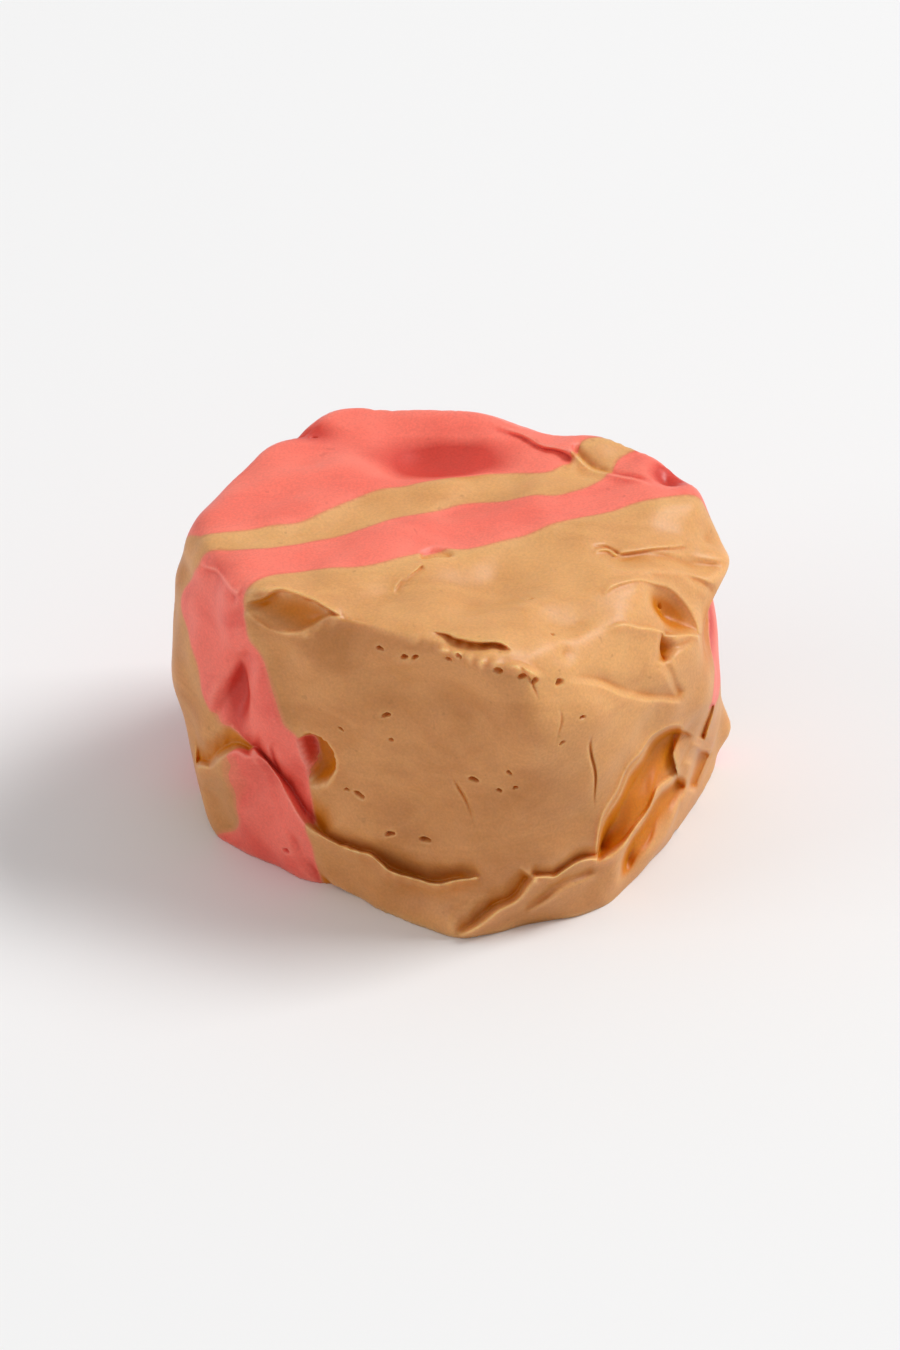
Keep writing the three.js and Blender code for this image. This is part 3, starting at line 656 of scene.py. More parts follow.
        (-0.2, 0.7), (-0.6, 0.8), 0.15, (0.3, 1.6), sight=UNDER),
}

DENTS: dict[str, Dent] = {
    "left_hollow": Dent((-10.8, -1.1), (1, 2.3), 1, turn=-4),
    "top_hollow": Dent((-0.4, 11.2), (4.4, 2.4), 0.95),
    "top_dip": Dent((1.6, 4.6), (5.8, 3), 0.42, turn=8),
    "face_hollow": Dent((-1, -5.8), (4.5, 4.5), 0.45),
    "seam_nick": Dent((-0.7, 6.1), (0.75, 0.5), 0.3, turn=10, is_round=True),
    "crumple_notch": Dent((10.9, 1.4), (0.5, 0.8), 0.8, turn=-12),
    "bowl_floor": Dent((11.2, 3.35), (1.8, 1.15), 0.85, turn=-14),
    "side_valley": Dent((6.5, 2.9), (2.6, 1.3), 0.5, turn=25),
    "brow_press": Dent((-2.2, -0.9), (3, 1.5), 0.55, turn=-12),
    "smudge": Dent((6.15, 1.15), (0.6, 0.6), 0.2),
    "lobe_dent": Dent((13.3, 6.85), (0.8, 1), 0.5, turn=-30),
    "foot_cheek": Dent((-9.6, -7.4), (2.6, 2.4), -0.3),
    "foot_toe": Dent((0.4, -12.4), (2.2, 1.6), -0.9),
    "back_notch": Dent((11.1, 10.2), (1.3, 1.3), 1),
    "back_swell": Dent((0.8, 12.9), (3, 1.6), -0.6),
    "back_dip": Dent((-7.3, 12.3), (2.4, 1.4), 0.6),
    "far_corner": Dent((7.5, 11.7), (2.5, 1.2), -0.35),
    "flap_lobe": Dent((13.65, -2.7), (0.8, 1.5), -0.5, turn=-8),
    "upper_lobe": Dent((13.4, 5.7), (1.5, 2.6), -1.1),
    "right_waist": Dent((1.5, 1.9), (4.5, 2.6), 0.9, sight=RIGHT),
    "left_waist": Dent((0.5, 5.2), (3.2, 1.2), 0.25, sight=LEFT),
    "back_press": Dent((-2.5, -0.8), (5, 3.4), 0.6, turn=15, sight=BACK),
    "back_nick": Dent((4.6, 4.2), (1.3, 1), 0.7, turn=20, sight=BACK),
    "under_press": Dent((1.5, 4.6), (4, 2.2), 0.5, sight=UNDER),
}

THUMBPRINTS: dict[str, Thumbprint] = {
    "thumbed_rim": Thumbprint((-7.6, 3.05), (2.35, 1.15), 0.75, turn=-8, soft=0.08),
    "dimple": Thumbprint((-6.9, -4.35), (1.2, 1.6), 1.35, bluntness=2.2, soft=0.05,
                         straight=-0.55, straight_turn=19),
}

HOLLOWS: dict[str, Hollow] = {
    "pocket": Hollow(
        Line(((7.4, -9.6), (7.5, -8.4), (7.7, -7.4), (8.4, -6.1), (9.15, -4.85), (9.95, -3.5),
              (10.95, -2.6), (11.8, -2.7), (12.6, -3.2))),
        Line(FOLDS["pocket_lip"].path), depth=2, run=0.26, lip_share=0.4, edge=0.25,
        fade=(0.6, 1.6)),
    "spoon_bowl": Hollow(
        Line(FOLDS["spoon_edge"].path), Line(FOLDS["spoon_lip"].path), depth=0.2, run=0.6,
        lip_share=0.8, fade=(3.2, 0.6)),
}

# Pores that broke at the skin as the candy was pulled: where, how wide and how deep.
PORES: tuple[tuple[Pair, float, float], ...] = (
    ((-3.5, 1.25), 0.2, 0.3), ((-2.3, 0.95), 0.22, 0.35), ((-1.75, 0.9), 0.2, 0.3),
    ((-3.25, -2.1), 0.2, 0.3), ((-5.5, -2.75), 0.16, 0.25), ((-3, -3.35), 0.14, 0.2),
    ((-4.7, -6), 0.26, 0.4), ((-5.25, -5.9), 0.14, 0.2), ((-3.15, -8.15), 0.26, 0.4),
    ((-1.4, -8.55), 0.26, 0.4), ((1.1, -5.4), 0.22, 0.35), ((2.85, -5.1), 0.2, 0.3),
    ((2.2, -6), 0.16, 0.25), ((3.2, -5.95), 0.16, 0.25), ((6.5, -2.05), 0.16, 0.25),
    ((5.65, -3.3), 0.16, 0.2), ((10.95, 3.75), 0.17, 0.4), ((-8, -8.75), 0.22, 0.4),
    ((2.5, 0.2), 0.22, 0.3), ((3.5, -0.2), 0.22, 0.3), ((4.25, -0.4), 0.24, 0.3),
    ((5.5, -0.35), 0.26, 0.3), ((0.35, 0.95), 0.2, 0.3), ((-0.2, 0.7), 0.18, 0.25),
    ((5.2, 2.3), 0.16, 0.2), ((4.1, 3.9), 0.16, 0.2), ((-6.9, 12.2), 0.2, 0.3),
)


def crests(way: Array, length: float) -> Array:
    """How the phase of waves that run one way changes, for a length in millimetres."""
    return way * (FULL_TURN / (length * np.linalg.norm(way)))


class Ripples:
    """Slow waves over the whole skin, from the rolling of the rope, and finer lumps."""

    BROAD: tuple[tuple[tuple[float, float, float], float, float], ...] = (
        ((0.11, 0.05, 0.09), 0.14, 0.4),
        ((-0.06, 0.13, 0.12), 0.12, 2.1),
        ((0.19, -0.12, 0.07), 0.07, 4.0),
    )
    SEED = 7
    FINE_WAVES = 16
    FINE_LENGTHS = (1.4, 4.5)  # millimetres from crest to crest, shortest and longest
    FINE_STEEPNESS = 0.0085  # height for each millimetre of length
    EDGE_ON = (0.45, 0.55)  # what is left of them on skin seen edge-on, and what comes on top
    SQUARE = 0.5  # how squarely the skin has to be seen for all of that
    UNEVEN_SEED = 5
    UNEVEN_LENGTHS = (3.1, 2.3, 1.7, 1.3, 0.9, 0.7)
    UNEVEN_PEAK = 2.5

    def height(self, points: Array, squarely: Array) -> Array:
        """How far the skin stands out, in millimetres, where it is seen that squarely."""
        total = np.zeros(len(points))
        for wave, height, phase in self.BROAD:
            total += height * np.sin(FULL_TURN * (points @ np.array(wave)) + phase)
        draw = np.random.default_rng(self.SEED)
        for _ in range(self.FINE_WAVES):
            way, length = draw.normal(size=3), draw.uniform(*self.FINE_LENGTHS)
            phase = draw.uniform(0, FULL_TURN)
            total += self.FINE_STEEPNESS * length * np.sin(points @ crests(way, length) + phase)
        return total * (self.EDGE_ON[0] + self.EDGE_ON[1] * smooth(squarely / self.SQUARE))

    @classmethod
    def unevenness(cls, points: Array) -> Array:
        """How a fold's height comes and goes from place to place, from about -1 to 1."""
        draw = np.random.default_rng(cls.UNEVEN_SEED)
        total = np.zeros(len(points))
        for length in cls.UNEVEN_LENGTHS:
            heading = crests(draw.normal(size=3), length)
            total += np.sin(points @ heading + draw.uniform(0, FULL_TURN))
        return total / cls.UNEVEN_PEAK


class Wobble:
    """Unsteadiness of the hand: it shifts where marks fall, so that no line runs true."""

    SEED = 3
    WAVES = 10
    LENGTHS = (1.2, 4.0)  # millimetres from crest to crest, shortest and longest
    SHIFT = 0.02
    SQUARE = 0.7  # how squarely the skin has to be seen for all of it

    def shift(self, points: Array, squarely: Array) -> Array:
        """How far each point is moved sideways, where it is seen that squarely."""
        draw = np.random.default_rng(self.SEED)
        moved = np.zeros_like(points)
        for _ in range(self.WAVES):
            heading = crests(draw.normal(size=3), draw.uniform(*self.LENGTHS))
            way = draw.normal(size=3) * self.SHIFT
            phase = draw.uniform(0, FULL_TURN)
            moved += np.sin(points @ heading + phase)[:, None] * way
        return moved * smooth(squarely / self.SQUARE)[:, None]


# ---- the sheets between layers


@dataclass(frozen=True)
class Sheet:
    """The sheet between two layers, as a depth (y) for each x and z.

    line is where it meets the top. Lower down it drifts by (z, dy), at the left end of the
    lump by left_drift and at the right end by right_drift, and not at all between them.
    """

    line: tuple[Pair, ...]
    left_drift: tuple[Pair, ...]
    right_drift: tuple[Pair, ...]
    left_ends: Pair = (-8.5, -4.5)
    right_ends: Pair = (13.0, 8.0)

    @staticmethod
    def through(knots: tuple[Pair, ...], at: Array) -> Array:
        """A value that runs smoothly through knots of (at, value)."""
        x, y = np.array(knots, float).T
        i = np.clip(np.searchsorted(x, at, side="left") - 1, 0, len(x) - 2)
        before, after = np.maximum(i - 1, 0), np.minimum(i + 2, len(x) - 1)
        width = x[i + 1] - x[i]
        start = (y[i + 1] - y[before]) / (x[i + 1] - x[before])
        end = (y[after] - y[i]) / (x[after] - x[i])
        t = np.clip((at - x[i]) / width, 0.0, 1.0)
        return (y[i] + (y[i + 1] - y[i]) * t * t * (3 - 2 * t)
                + start * width * t * (1 - t) ** 2 - end * width * t * t * (1 - t))

    def depth(self, x: Array, z: Array) -> Array:
        """The sheet's y at each x and z."""
        shares = [
            1 - smooth((x - whole) / (gone - whole))
            for whole, gone in (self.left_ends, self.right_ends)
        ]
        return (self.through(self.line, x) + shares[0] * self.through(self.left_drift, z)
                + shares[1] * self.through(self.right_drift, z))

    def distance(self, points: Array) -> Array:
        """How far points lie from the sheet, in millimetres, positive behind it."""
        x, y, z = points.T
        step = 0.05
        here = self.depth(x, z)
        slope_x = (self.depth(x + step, z) - here) / step
        slope_z = (self.depth(x, z + step) - here) / step
        return (y - here) / np.sqrt(1 + slope_x**2 + slope_z**2)


SHEETS = (
    Sheet(
        line=((-16, 0.4), (-13, 0.1), (-11.5, -0.4), (-9.6, 0.15), (-7.6, 0.65),
              (-6, 1.65), (-4.3, 3), (-2.3, 4.1), (-0.4, 4.9), (1, 5.45), (3, 5.75),
              (4.8, 5.5), (5.75, 6.4), (6.2, 6.85), (6.45, 7.8), (8.5, 8.9), (11, 10.6),
              (16, 13)),
        left_drift=((0, 2), (5, 2), (9, 2.4), (13, 2.4), (16, 1.1), (17, 0)),
        right_drift=((0, -2.5), (8, -2), (13, -0.8), (17, 0)),
    ),
    Sheet(
        line=((-16, -1.8), (-12.4, -1.5), (-9.9, -1.85), (-7.8, -1), (-5.95, -0.2),
              (-4, 0.5), (-1.6, 1.75), (1, 3.2), (3, 3.1), (5, 3.15), (6.4, 4),
              (7.3, 5.1), (8, 5.95), (8.3, 6.9), (9, 7.7), (12, 9.8), (16, 11.6)),
        left_drift=((0, -0.4), (2, -1.85), (3.3, -2.15), (5.2, -2.45), (6.9, -2.45),
                    (7.4, -2), (8, -1.6), (9, -1), (10, -0.7), (11.2, -0.3),
                    (12.3, 1), (13.5, 1.5), (14.8, 1), (16, 0.2), (17, 0)),
        right_drift=((0, -5), (8, -4.4), (12, -3), (17, 0)),
    ),
    Sheet(
        line=((-16, -6.6), (-12, -5.6), (-10, -4.9), (-8.6, -3.9), (-7.2, -3.1),
              (-5.9, -3.15), (-3.6, -2.7), (-0.6, -1.2), (1, -0.95), (2.3, -0.5),
              (4.4, 0.4), (6.4, 1.5), (8.1, 2.3), (9.1, 3), (10.4, 3.4), (11.7, 4.2),
              (16, 6.5)),
        left_drift=((0, -6.4), (0.9, -5.85), (2.7, -5.65), (4, -5), (5.45, -4.9),
                    (6.3, -4.5), (7.6, -4.5), (8.6, -3.9), (9.4, -2.6), (10.2, -2.24),
                    (11.5, -1.66), (12.8, -1.12), (13.8, -0.56), (15.3, -0.15), (17, 0)),
        right_drift=((0, -1), (5, -1), (6.4, -2.2), (7.2, -5.8), (8, -6.8), (8.8, -6.6),
                     (9.4, -5.2), (9.8, -4), (10.3, -1.7), (12, -1.2), (17, 0)),
    ),
)


# ---- finishes


def linear(colour: str) -> tuple[float, float, float, float]:
    """An sRGB hex colour as linear red, green, blue and alpha."""
    parts = [int(colour[i:i + 2], 16) / 255 for i in (1, 3, 5)]
    r, g, b = (c / 12.92 if c <= 0.04045 else ((c + 0.055) / 1.055) ** 2.4 for c in parts)
    return r, g, b, 1.0


def add_node(
    tree: bpy.types.NodeTree,
    kind: str,
    settings: dict[str, object] | None = None,
    inputs: dict[str | int, object] | None = None,
) -> bpy.types.Node:
    """Adds a node to a tree.

    Args:
        tree: The material's or world's node tree.
        kind: The node's Blender type.
        settings: Its properties, by name.
        inputs: Its sockets, by name or index, each a socket to link from or a plain value.

    Returns:
        The node.
    """
    node = tree.nodes.new(kind)
    for name, value in (settings or {}).items():
        setattr(node, name, value)
    for name, value in (inputs or {}).items():
        if isinstance(value, bpy.types.NodeSocket):
            tree.links.new(value, node.inputs[name])
        else:
            node.inputs[name].default_value = value
    return node


@dataclass(frozen=True)
class Mixer:
    """Adds the nodes that a finish is mixed with, and hands back their outputs."""

    tree: bpy.types.NodeTree

    def value(self, name: str) -> Socket:
        """A value that the pieces carry, by name."""
        node = add_node(self.tree, "ShaderNodeAttribute", {"attribute_name": name})
        return node.outputs["Fac"]

    def noise(self, place: Socket, size_mm: float, **inputs: float) -> Socket:
        """Cloudy noise with clouds of about one size."""
        return add_node(self.tree, "ShaderNodeTexNoise", inputs={
            "Vector": place, "Scale": 1 / (size_mm * MM), **inputs}).outputs["Fac"]

    def ramp(self, value: Socket, start: float, end: float, low: float = 0.0,
             high: float = 1.0, kind: str = "LINEAR") -> Socket:
        """Runs from low to high as value does from start to end, and stays there outside."""
        return add_node(self.tree, "ShaderNodeMapRange", {"interpolation_type": kind}, {
            "Value": value, "From Min": start, "From Max": end, "To Min": low,
            "To Max": high}).outputs[0]

    def blend(self, share: Socket | float, first: Socket | str, second: Socket | str,
              kind: str = "MIX") -> Socket:
        """Goes from the first colour to the second by a share."""
        first, second = (linear(c) if isinstance(c, str) else c for c in (first, second))
        return add_node(self.tree, "ShaderNodeMix", {"data_type": "RGBA", "blend_type": kind},
                        {0: share, 6: first, 7: second}).outputs[2]

    def combine(self, kind: str, first: Socket, second: Socket) -> Socket:
        """Adds or multiplies two values, and keeps the result from 0 to 1."""
        return add_node(self.tree, "ShaderNodeMath", {"operation": kind, "use_clamp": True},
                        {0: first, 1: second}).outputs[0]


class Tint(Enum):
    """The two candies that the chunk was pulled from."""

    TAN = "tan_taffy"
    PINK = "pink_taffy"


@dataclass(frozen=True)
class PulledTaffy:
    """Pulled sugar candy: sugar, syrup and a little fat, worked until air turns it opaque.

    The fine bubbles make it matt and soft to look at, the fat gives it a low waxy sheen, and
    light that enters a thin lip or a fold comes out a stronger colour than it went in.
    """

    slot: str
    body: str
    shade: str
    lit_side: str
    light: str
    fold_shade_and_glow: str
    speck: str
    neighbour: str
    scatter: tuple[float, float, float]
    grain_mm: float = 0.22
    bubble_mm: float = 0.13
    cloud_mm: float = 3.6
    speck_mm: float = 0.5
    roughness: float = 0.44

    def colour(self, mixer: Mixer, place: Socket, cloud: Socket) -> Socket:
        """Mixes the candy's colour.

        Args:
            mixer: What adds the nodes.
            place: The point, in the part's frame.
            cloud: The noise that its tones follow.

        Returns:
            The colour's socket.
        """
        colour = mixer.blend(mixer.ramp(cloud, 0.38, 0.62), self.shade, self.body)
        # Painted light: the side facing the key light is made paler and yellower, unevenly,
        # while the body colour stands for the sides turned away from it.
        uneven = mixer.ramp(cloud, 0.4, 0.6, 0.65)
        lit_share = mixer.combine("MULTIPLY", mixer.value("lit_side"), uneven)
        colour = mixer.blend(lit_share, colour, self.lit_side)

        # Painted highlight: ridges are made paler, as if catching the light.
        hollow = mixer.value("hollow")
        colour = mixer.blend(mixer.ramp(hollow, -0.01, -0.12), colour, self.light)

        # Painted shade and glow in folds: fine hollows and deep presses are made darker and
        # stronger in colour, for the shade in them and the light that scatters from wall to
        # wall.
        fold_shade_and_glow = mixer.combine("ADD", mixer.ramp(hollow, 0.01, 0.12),
                             mixer.ramp(mixer.value("pressed"), 0.3, 0.95))
        colour = mixer.blend(fold_shade_and_glow, colour, self.fold_shade_and_glow)

        # Specks are pores too fine to model.
        specks = mixer.ramp(mixer.noise(place, self.speck_mm, Detail=1.0), 0.72, 0.8, high=0.3)
        colour = mixer.blend(specks, colour, self.speck)

        # The next candy bleeds a little way in at a seam.
        bleed = mixer.ramp(mixer.value("seam"), 0.75, 1.0, high=0.5, kind="SMOOTHSTEP")
        colour = mixer.blend(bleed, colour, self.neighbour)

        # Fine bubbles under the skin leave it lighter and darker from point to point.
        bubbles = mixer.noise(place, self.bubble_mm, Detail=2.0)
        return mixer.blend(1.0, colour, mixer.ramp(bubbles, 0.3, 0.7, 0.93, 1.07), "MULTIPLY")

    def material(self) -> bpy.types.Material:
        """Returns the finish as a material, which reads the values that the pieces carry."""
        made = bpy.data.materials.new(f"pulled_{self.slot}")
        made.use_nodes = True
        tree = made.node_tree
        tree.nodes.clear()
        mixer = Mixer(tree)
        place = add_node(tree, "ShaderNodeTexCoord").outputs["Object"]

        # Pulling drew the tones out into streaks along the bands.
        pulled = add_node(tree, "ShaderNodeMapping", {"vector_type": "POINT"}, {
            "Vector": place, "Rotation": (0.0, 0.0, math.radians(-25)),
            "Scale": (0.4, 1.0, 1.0)}).outputs[0]
        cloud = mixer.noise(pulled, self.cloud_mm, Detail=4.0, Roughness=0.6, Distortion=0.8)
        grain = mixer.noise(place, self.grain_mm, Detail=3.0, Roughness=0.55)
        relief = add_node(tree, "ShaderNodeBump", inputs={
            "Height": grain, "Strength": 0.3, "Distance": 0.03 * MM})
        shader = add_node(tree, "ShaderNodeBsdfPrincipled", inputs={
            "Base Color": self.colour(mixer, place, cloud),
            "Roughness": mixer.ramp(
                cloud, 0.3, 0.7, self.roughness - 0.06, self.roughness + 0.08),
            "Normal": relief.outputs["Normal"],
            "IOR": 1.47,
            "Specular IOR Level": 0.45,
            # No light goes on into the next candy, so none is sent down beside it.
            "Subsurface Weight": mixer.ramp(
                mixer.value("seam"), 0.0, 0.8, 0.5, 0.0, "SMOOTHSTEP"),
            "Subsurface Radius": self.scatter,
            "Subsurface Scale": 1.3 * MM,
        })
        add_node(tree, "ShaderNodeOutputMaterial", inputs={"Surface": shader.outputs[0]})
        return made


FINISHES = {
    # Vanilla and caramel taffy: milky tan, with orange-brown painted into its folds as their
    # shade and scattered light.
    Tint.TAN: PulledTaffy(
        slot=Tint.TAN.value, body="#cf9055", shade="#bf7e43", lit_side="#dda467",
        light="#e6b077", fold_shade_and_glow="#cc7606", speck="#9a6636", neighbour="#e0805f",
        scatter=(1.0, 0.55, 0.2)),
    # Strawberry taffy: coral pink, with deeper red painted into its folds as their shade and
    # scattered light.
    Tint.PINK: PulledTaffy(
        slot=Tint.PINK.value, body="#f27261", shade="#e25848", lit_side="#f77b68",
        light="#fb8f7d", fold_shade_and_glow="#cf3f30", speck="#c9503f", neighbour="#e0805f",
        scatter=(1.0, 0.35, 0.25)),
}


# ---- the chunk


def read(items: bpy.types.bpy_prop_collection, name: str, width: int = 1,
         kind: type = int) -> Array:
    """Reads a property of a mesh's vertices, edges, corners or faces, a row for each."""
    values = np.zeros(len(items) * width, kind)
    items.foreach_get(name, values)
    return values.reshape(-1, width) if width > 1 else values


def carry(mesh: bpy.types.Mesh, name: str, values: Array) -> None:
    """Gives each point of a mesh a value, which the finishes read by name."""
    attribute = mesh.attributes.new(name, "FLOAT", "POINT")
    attribute.data.foreach_set("value", values.astype(np.float32))


def into_mesh(shape: bmesh.types.BMesh, name: str) -> bpy.types.Mesh:
    """Turns a bmesh into a mesh, and frees it."""
    mesh = bpy.data.meshes.new(name)
    shape.to_mesh(mesh)
    shape.free()
    return mesh


def show(name: str, data: bpy.types.ID) -> bpy.types.Object:
    """Sets a mesh, a light or a camera into the scene as an object."""
    made = bpy.data.objects.new(name, data)
    bpy.context.scene.collection.objects.link(made)
    return made


@dataclass(frozen=True)
class Layer:
    """One candy layer of the chunk, and the sheets that bound it."""

    node: str
    tint: Tint
    behind: Sheet | None
    in_front: Sheet | None


@dataclass(frozen=True)
class Place:
    """How the lump is set into the part's box: a slight squeeze along each axis and a move."""

    squeeze: Array
    move: Array

    @staticmethod
    def into(box: tuple[Vector, Vector], points: Array, clear: float = 0.02) -> Place:
        """Finds the place that keeps points inside a box, in metres, by clear millimetres."""
        low, high = (np.array(corner) / MM for corner in box)
        size = points.max(0) - points.min(0)
        squeeze = np.minimum(1.0, (high - low - 2 * clear) / size)
        middle = (points.min(0) + points.max(0)) / 2
        move = (low + high) / 2 - middle * squeeze
        move[2] = 0.0
        LOG.info("squeezed by %s, moved by %s", squeeze.round(4), move.round(3))
        return Place(squeeze, move)

    def put(self, points: Array) -> Array:
        """Points of the lump's own space, in the part's frame."""
        return points * self.squeeze + self.move

    def back(self, points: Array) -> Array:
        """Points of the part's frame, in the lump's own space."""
        return (points - self.move) / self.squeeze


@dataclass
class TaffyChunk:
    """The whole piece of taffy: one marked lump, cut into its four layers."""

    PORE_HEIGHT = 0.65  # as a share of a pore's width
    PORE_TURN = 25  # degrees that pores are turned by, at most
    FINEST_EDGE = 0.06  # edges longer than this even a hollow out less
    EVENING = 0.6  # share of the way that a point goes to its neighbours' middle at a time
    LIT_SIDE_RAMP = (0.1, 0.6)  # where the painted light starts as the skin turns towards the key light, and over how much
    WIDE, LOW, HIGH = 18.0, -2.0, 21.0  # how far a sheet runs each way, down and up
    SHEET_CELLS = (120, 80)

    detail: int = 7  # the starting ball's subdivisions, as bmesh counts them
    refined_within: Pair = (0.55, 0.24)  # millimetres from a fold where faces are halved
    most_slant: float = 0.4  # a fold seen at a slant reaches further along the skin, up to this
    shallow: float = 0.6  # millimetres, and a dent less deep than that gets no painted fold shade
    crowding: float = 0.12  # how strongly the skin's faces crowd towards the front
    front: Pair = (15, 10)  # turn and tilt of what they crowd towards
    seam_width: float = 0.7  # how far in from a seam the candy still lies against the next one
    lit_side_facing: Pair = (70, 60)  # turn and tilt of the side painted as most lit, towards the key light
    lump: Lump = field(default_factory=Lump)
    layers: tuple[Layer, ...] = (
        Layer("back_pink_layer", Tint.PINK, None, SHEETS[0]),
        Layer("tan_stripe_layer", Tint.TAN, SHEETS[0], SHEETS[1]),
        Layer("front_pink_layer", Tint.PINK, SHEETS[1], SHEETS[2]),
        Layer("front_tan_layer", Tint.TAN, SHEETS[2], None),
    )

    def find_lines(self) -> tuple[KDTree, Array]:
        """Returns a finder of the lines' and pores' points, and how far each one stretches."""
        drawn = [*FOLDS.values(), *(hollow.rim for hollow in HOLLOWS.values())]
        pores = self.lump.seen(np.array([at for at, _, _ in PORES]), FRONT)
        traces = [(pores, FRONT), *((line.trace(self.lump), line.sight) for line in drawn)]
        slant = np.concatenate([
            self.lump.outwards(trace) @ sight.axes()[2] for trace, sight in traces])
        finder = KDTree(len(slant))
        for i, point in enumerate(np.vstack([trace for trace, _ in traces])):
            finder.insert(point, i)
        finder.balance()
        return finder, 1 / np.clip(slant, self.most_slant, 1.0)

    def start(self) -> bpy.types.Mesh:
        """A ball with fine faces where the marks will be, which the lump is pressed from."""
        shape = bmesh.new()
        bmesh.ops.create_icosphere(shape, subdivisions=self.detail, radius=1.0)
        finder, stretch = self.find_lines()
        for reach in self.refined_within:
            skin = self.lump.skin(self.headings(np.array([v.co for v in shape.verts])))
            found = (finder.find(point) for point in skin)
            near = [distance < reach * stretch[i] for _, i, distance in found]
            edges = [e for e in shape.edges if near[e.verts[0].index] or near[e.verts[1].index]]
            bmesh.ops.subdivide_edges(shape, edges=edges, cuts=1, use_grid_fill=True)
            bmesh.ops.triangulate(shape, faces=[f for f in shape.faces if len(f.verts) > 3])
            for vert in shape.verts:
                vert.co.normalize()
            shape.verts.index_update()
        bmesh.ops.recalc_face_normals(shape, faces=shape.faces[:])
        return into_mesh(shape, "taffy_lump")

    def headings(self, ball: Array) -> Array:
        """The ball's points as headings from the middle, crowded towards the front."""
        headings = ball + self.crowding * compass(*self.front)
        return headings / np.linalg.norm(headings, axis=1, keepdims=True)

    def mark(self, plain: Array) -> tuple[Array, Array, Array]:
        """Presses every mark into the skin, and the resting place flat.

        Args:
            plain: Points on the plain lump.

        Returns:
            Where they end up, how deep each was pressed in by more than a shallow dent, and
            how squarely it faces the key light, which is painted paler: 0 on the sides, 1 on
            top.
        """
        normals = self.lump.outwards(plain)
        squarely = np.abs(normals @ FRONT.axes()[2])
        placed = plain + Wobble().shift(plain, squarely)
        moved = plain + normals * Ripples().height(plain, squarely)[:, None]
        before = moved.copy()
        for thumbprint in THUMBPRINTS.values():
            thumbprint.push(moved, self.lump)
        pores = [
            Dent(at, (width, width * self.PORE_HEIGHT), depth,
                 turn=self.PORE_TURN * math.sin(i), is_round=True)
            for i, (at, width, depth) in enumerate(PORES)
        ]
        for mark in [*FOLDS.values(), *HOLLOWS.values(), *DENTS.values(), *pores]:
            reached, offset = mark.press(placed, normals, self.lump)
            moved[reached] += offset
            if isinstance(mark, Dent) and 0 < mark.depth < self.shallow:
                before[reached] += offset
        pressed = ((before - moved) * normals).sum(1) / np.clip(squarely, self.most_slant, 1.0)
        moved[:, 2] = np.maximum(moved[:, 2], 0.0)
        # How squarely the skin faces the key light, for the painted light on that side.
        lit_from, over = self.LIT_SIDE_RAMP
        return moved, pressed, smooth((normals @ compass(*self.lit_side_facing) - lit_from) / over)

    def hollows(self, mesh: bpy.types.Mesh, points: Array, rounds: int = 40) -> Array:
        """How deep each point lies in a fine hollow, in millimetres, and below 0 on a ridge."""
        a, b = read(mesh.edges, "vertices", 2).T
        length = np.linalg.norm(points[a] - points[b], axis=1)
        weight = np.minimum(1.0, (self.FINEST_EDGE / length) ** 2)
        count = np.bincount(np.concatenate([a, b]), minlength=len(points))
        even = points.copy()
        for _ in range(rounds):
            for k in range(3):
                pull = weight * (even[b, k] - even[a, k])
                total = np.bincount(a, pull, len(points)) - np.bincount(b, pull, len(points))
                even[:, k] += self.EVENING * total / count
        return ((even - points) * read(mesh.vertices, "normal", 3, float)).sum(1)

    def build_lump(self) -> tuple[bpy.types.Mesh, Place]:
        """Makes the marked lump.

        Returns:
            Its mesh, in metres in the part's frame, and how it was placed there.
        """
        mesh = self.start()
        headings = self.headings(read(mesh.vertices, "co", 3, float))
        points, pressed, lit_side = self.mark(self.lump.skin(headings))
        place = Place.into(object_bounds(), points)
        points = place.put(points)
        mesh.vertices.foreach_set("co", (points * MM).astype(np.float32).ravel())
        mesh.update()
        carry(mesh, "hollow", self.hollows(mesh, points))
        carry(mesh, "pressed", pressed)
        # The share of painted light on the side facing the key light.
        carry(mesh, "lit_side", lit_side)
        mesh.polygons.foreach_set("use_smooth", np.ones(len(mesh.polygons), bool))
        return mesh, place

    def build_behind(self, sheet: Sheet, place: Place) -> bpy.types.Object:
        """Everything behind a sheet, as a solid whose faces are all of material 1."""
        shape = bmesh.new()
        across, upwards = self.SHEET_CELLS
        bmesh.ops.create_grid(shape, x_segments=across, y_segments=upwards, size=1.0)
        for vert in shape.verts:
            z = (self.LOW + self.HIGH) / 2 + vert.co.y * (self.HIGH - self.LOW) / 2
            vert.co = (vert.co.x * self.WIDE, 0.0, z)
        places = np.array([v.co for v in shape.verts])
        for vert, depth in zip(shape.verts, sheet.depth(places[:, 0], places[:, 2])):
            vert.co.y = depth
        swept = bmesh.ops.extrude_face_region(shape, geom=shape.faces[:])["geom"]
        for vert in (v for v in swept if isinstance(v, bmesh.types.BMVert)):
            vert.co.y = self.WIDE
        for vert in shape.verts:
            vert.co = Vector(place.put(np.array(vert.co))) * MM
        bmesh.ops.triangulate(shape, faces=shape.faces[:])
        bmesh.ops.recalc_face_normals(shape, faces=shape.faces[:])
        for face in shape.faces:
            face.material_index = 1
            face.smooth = True
        return show("behind_sheet", into_mesh(shape, "behind_sheet"))

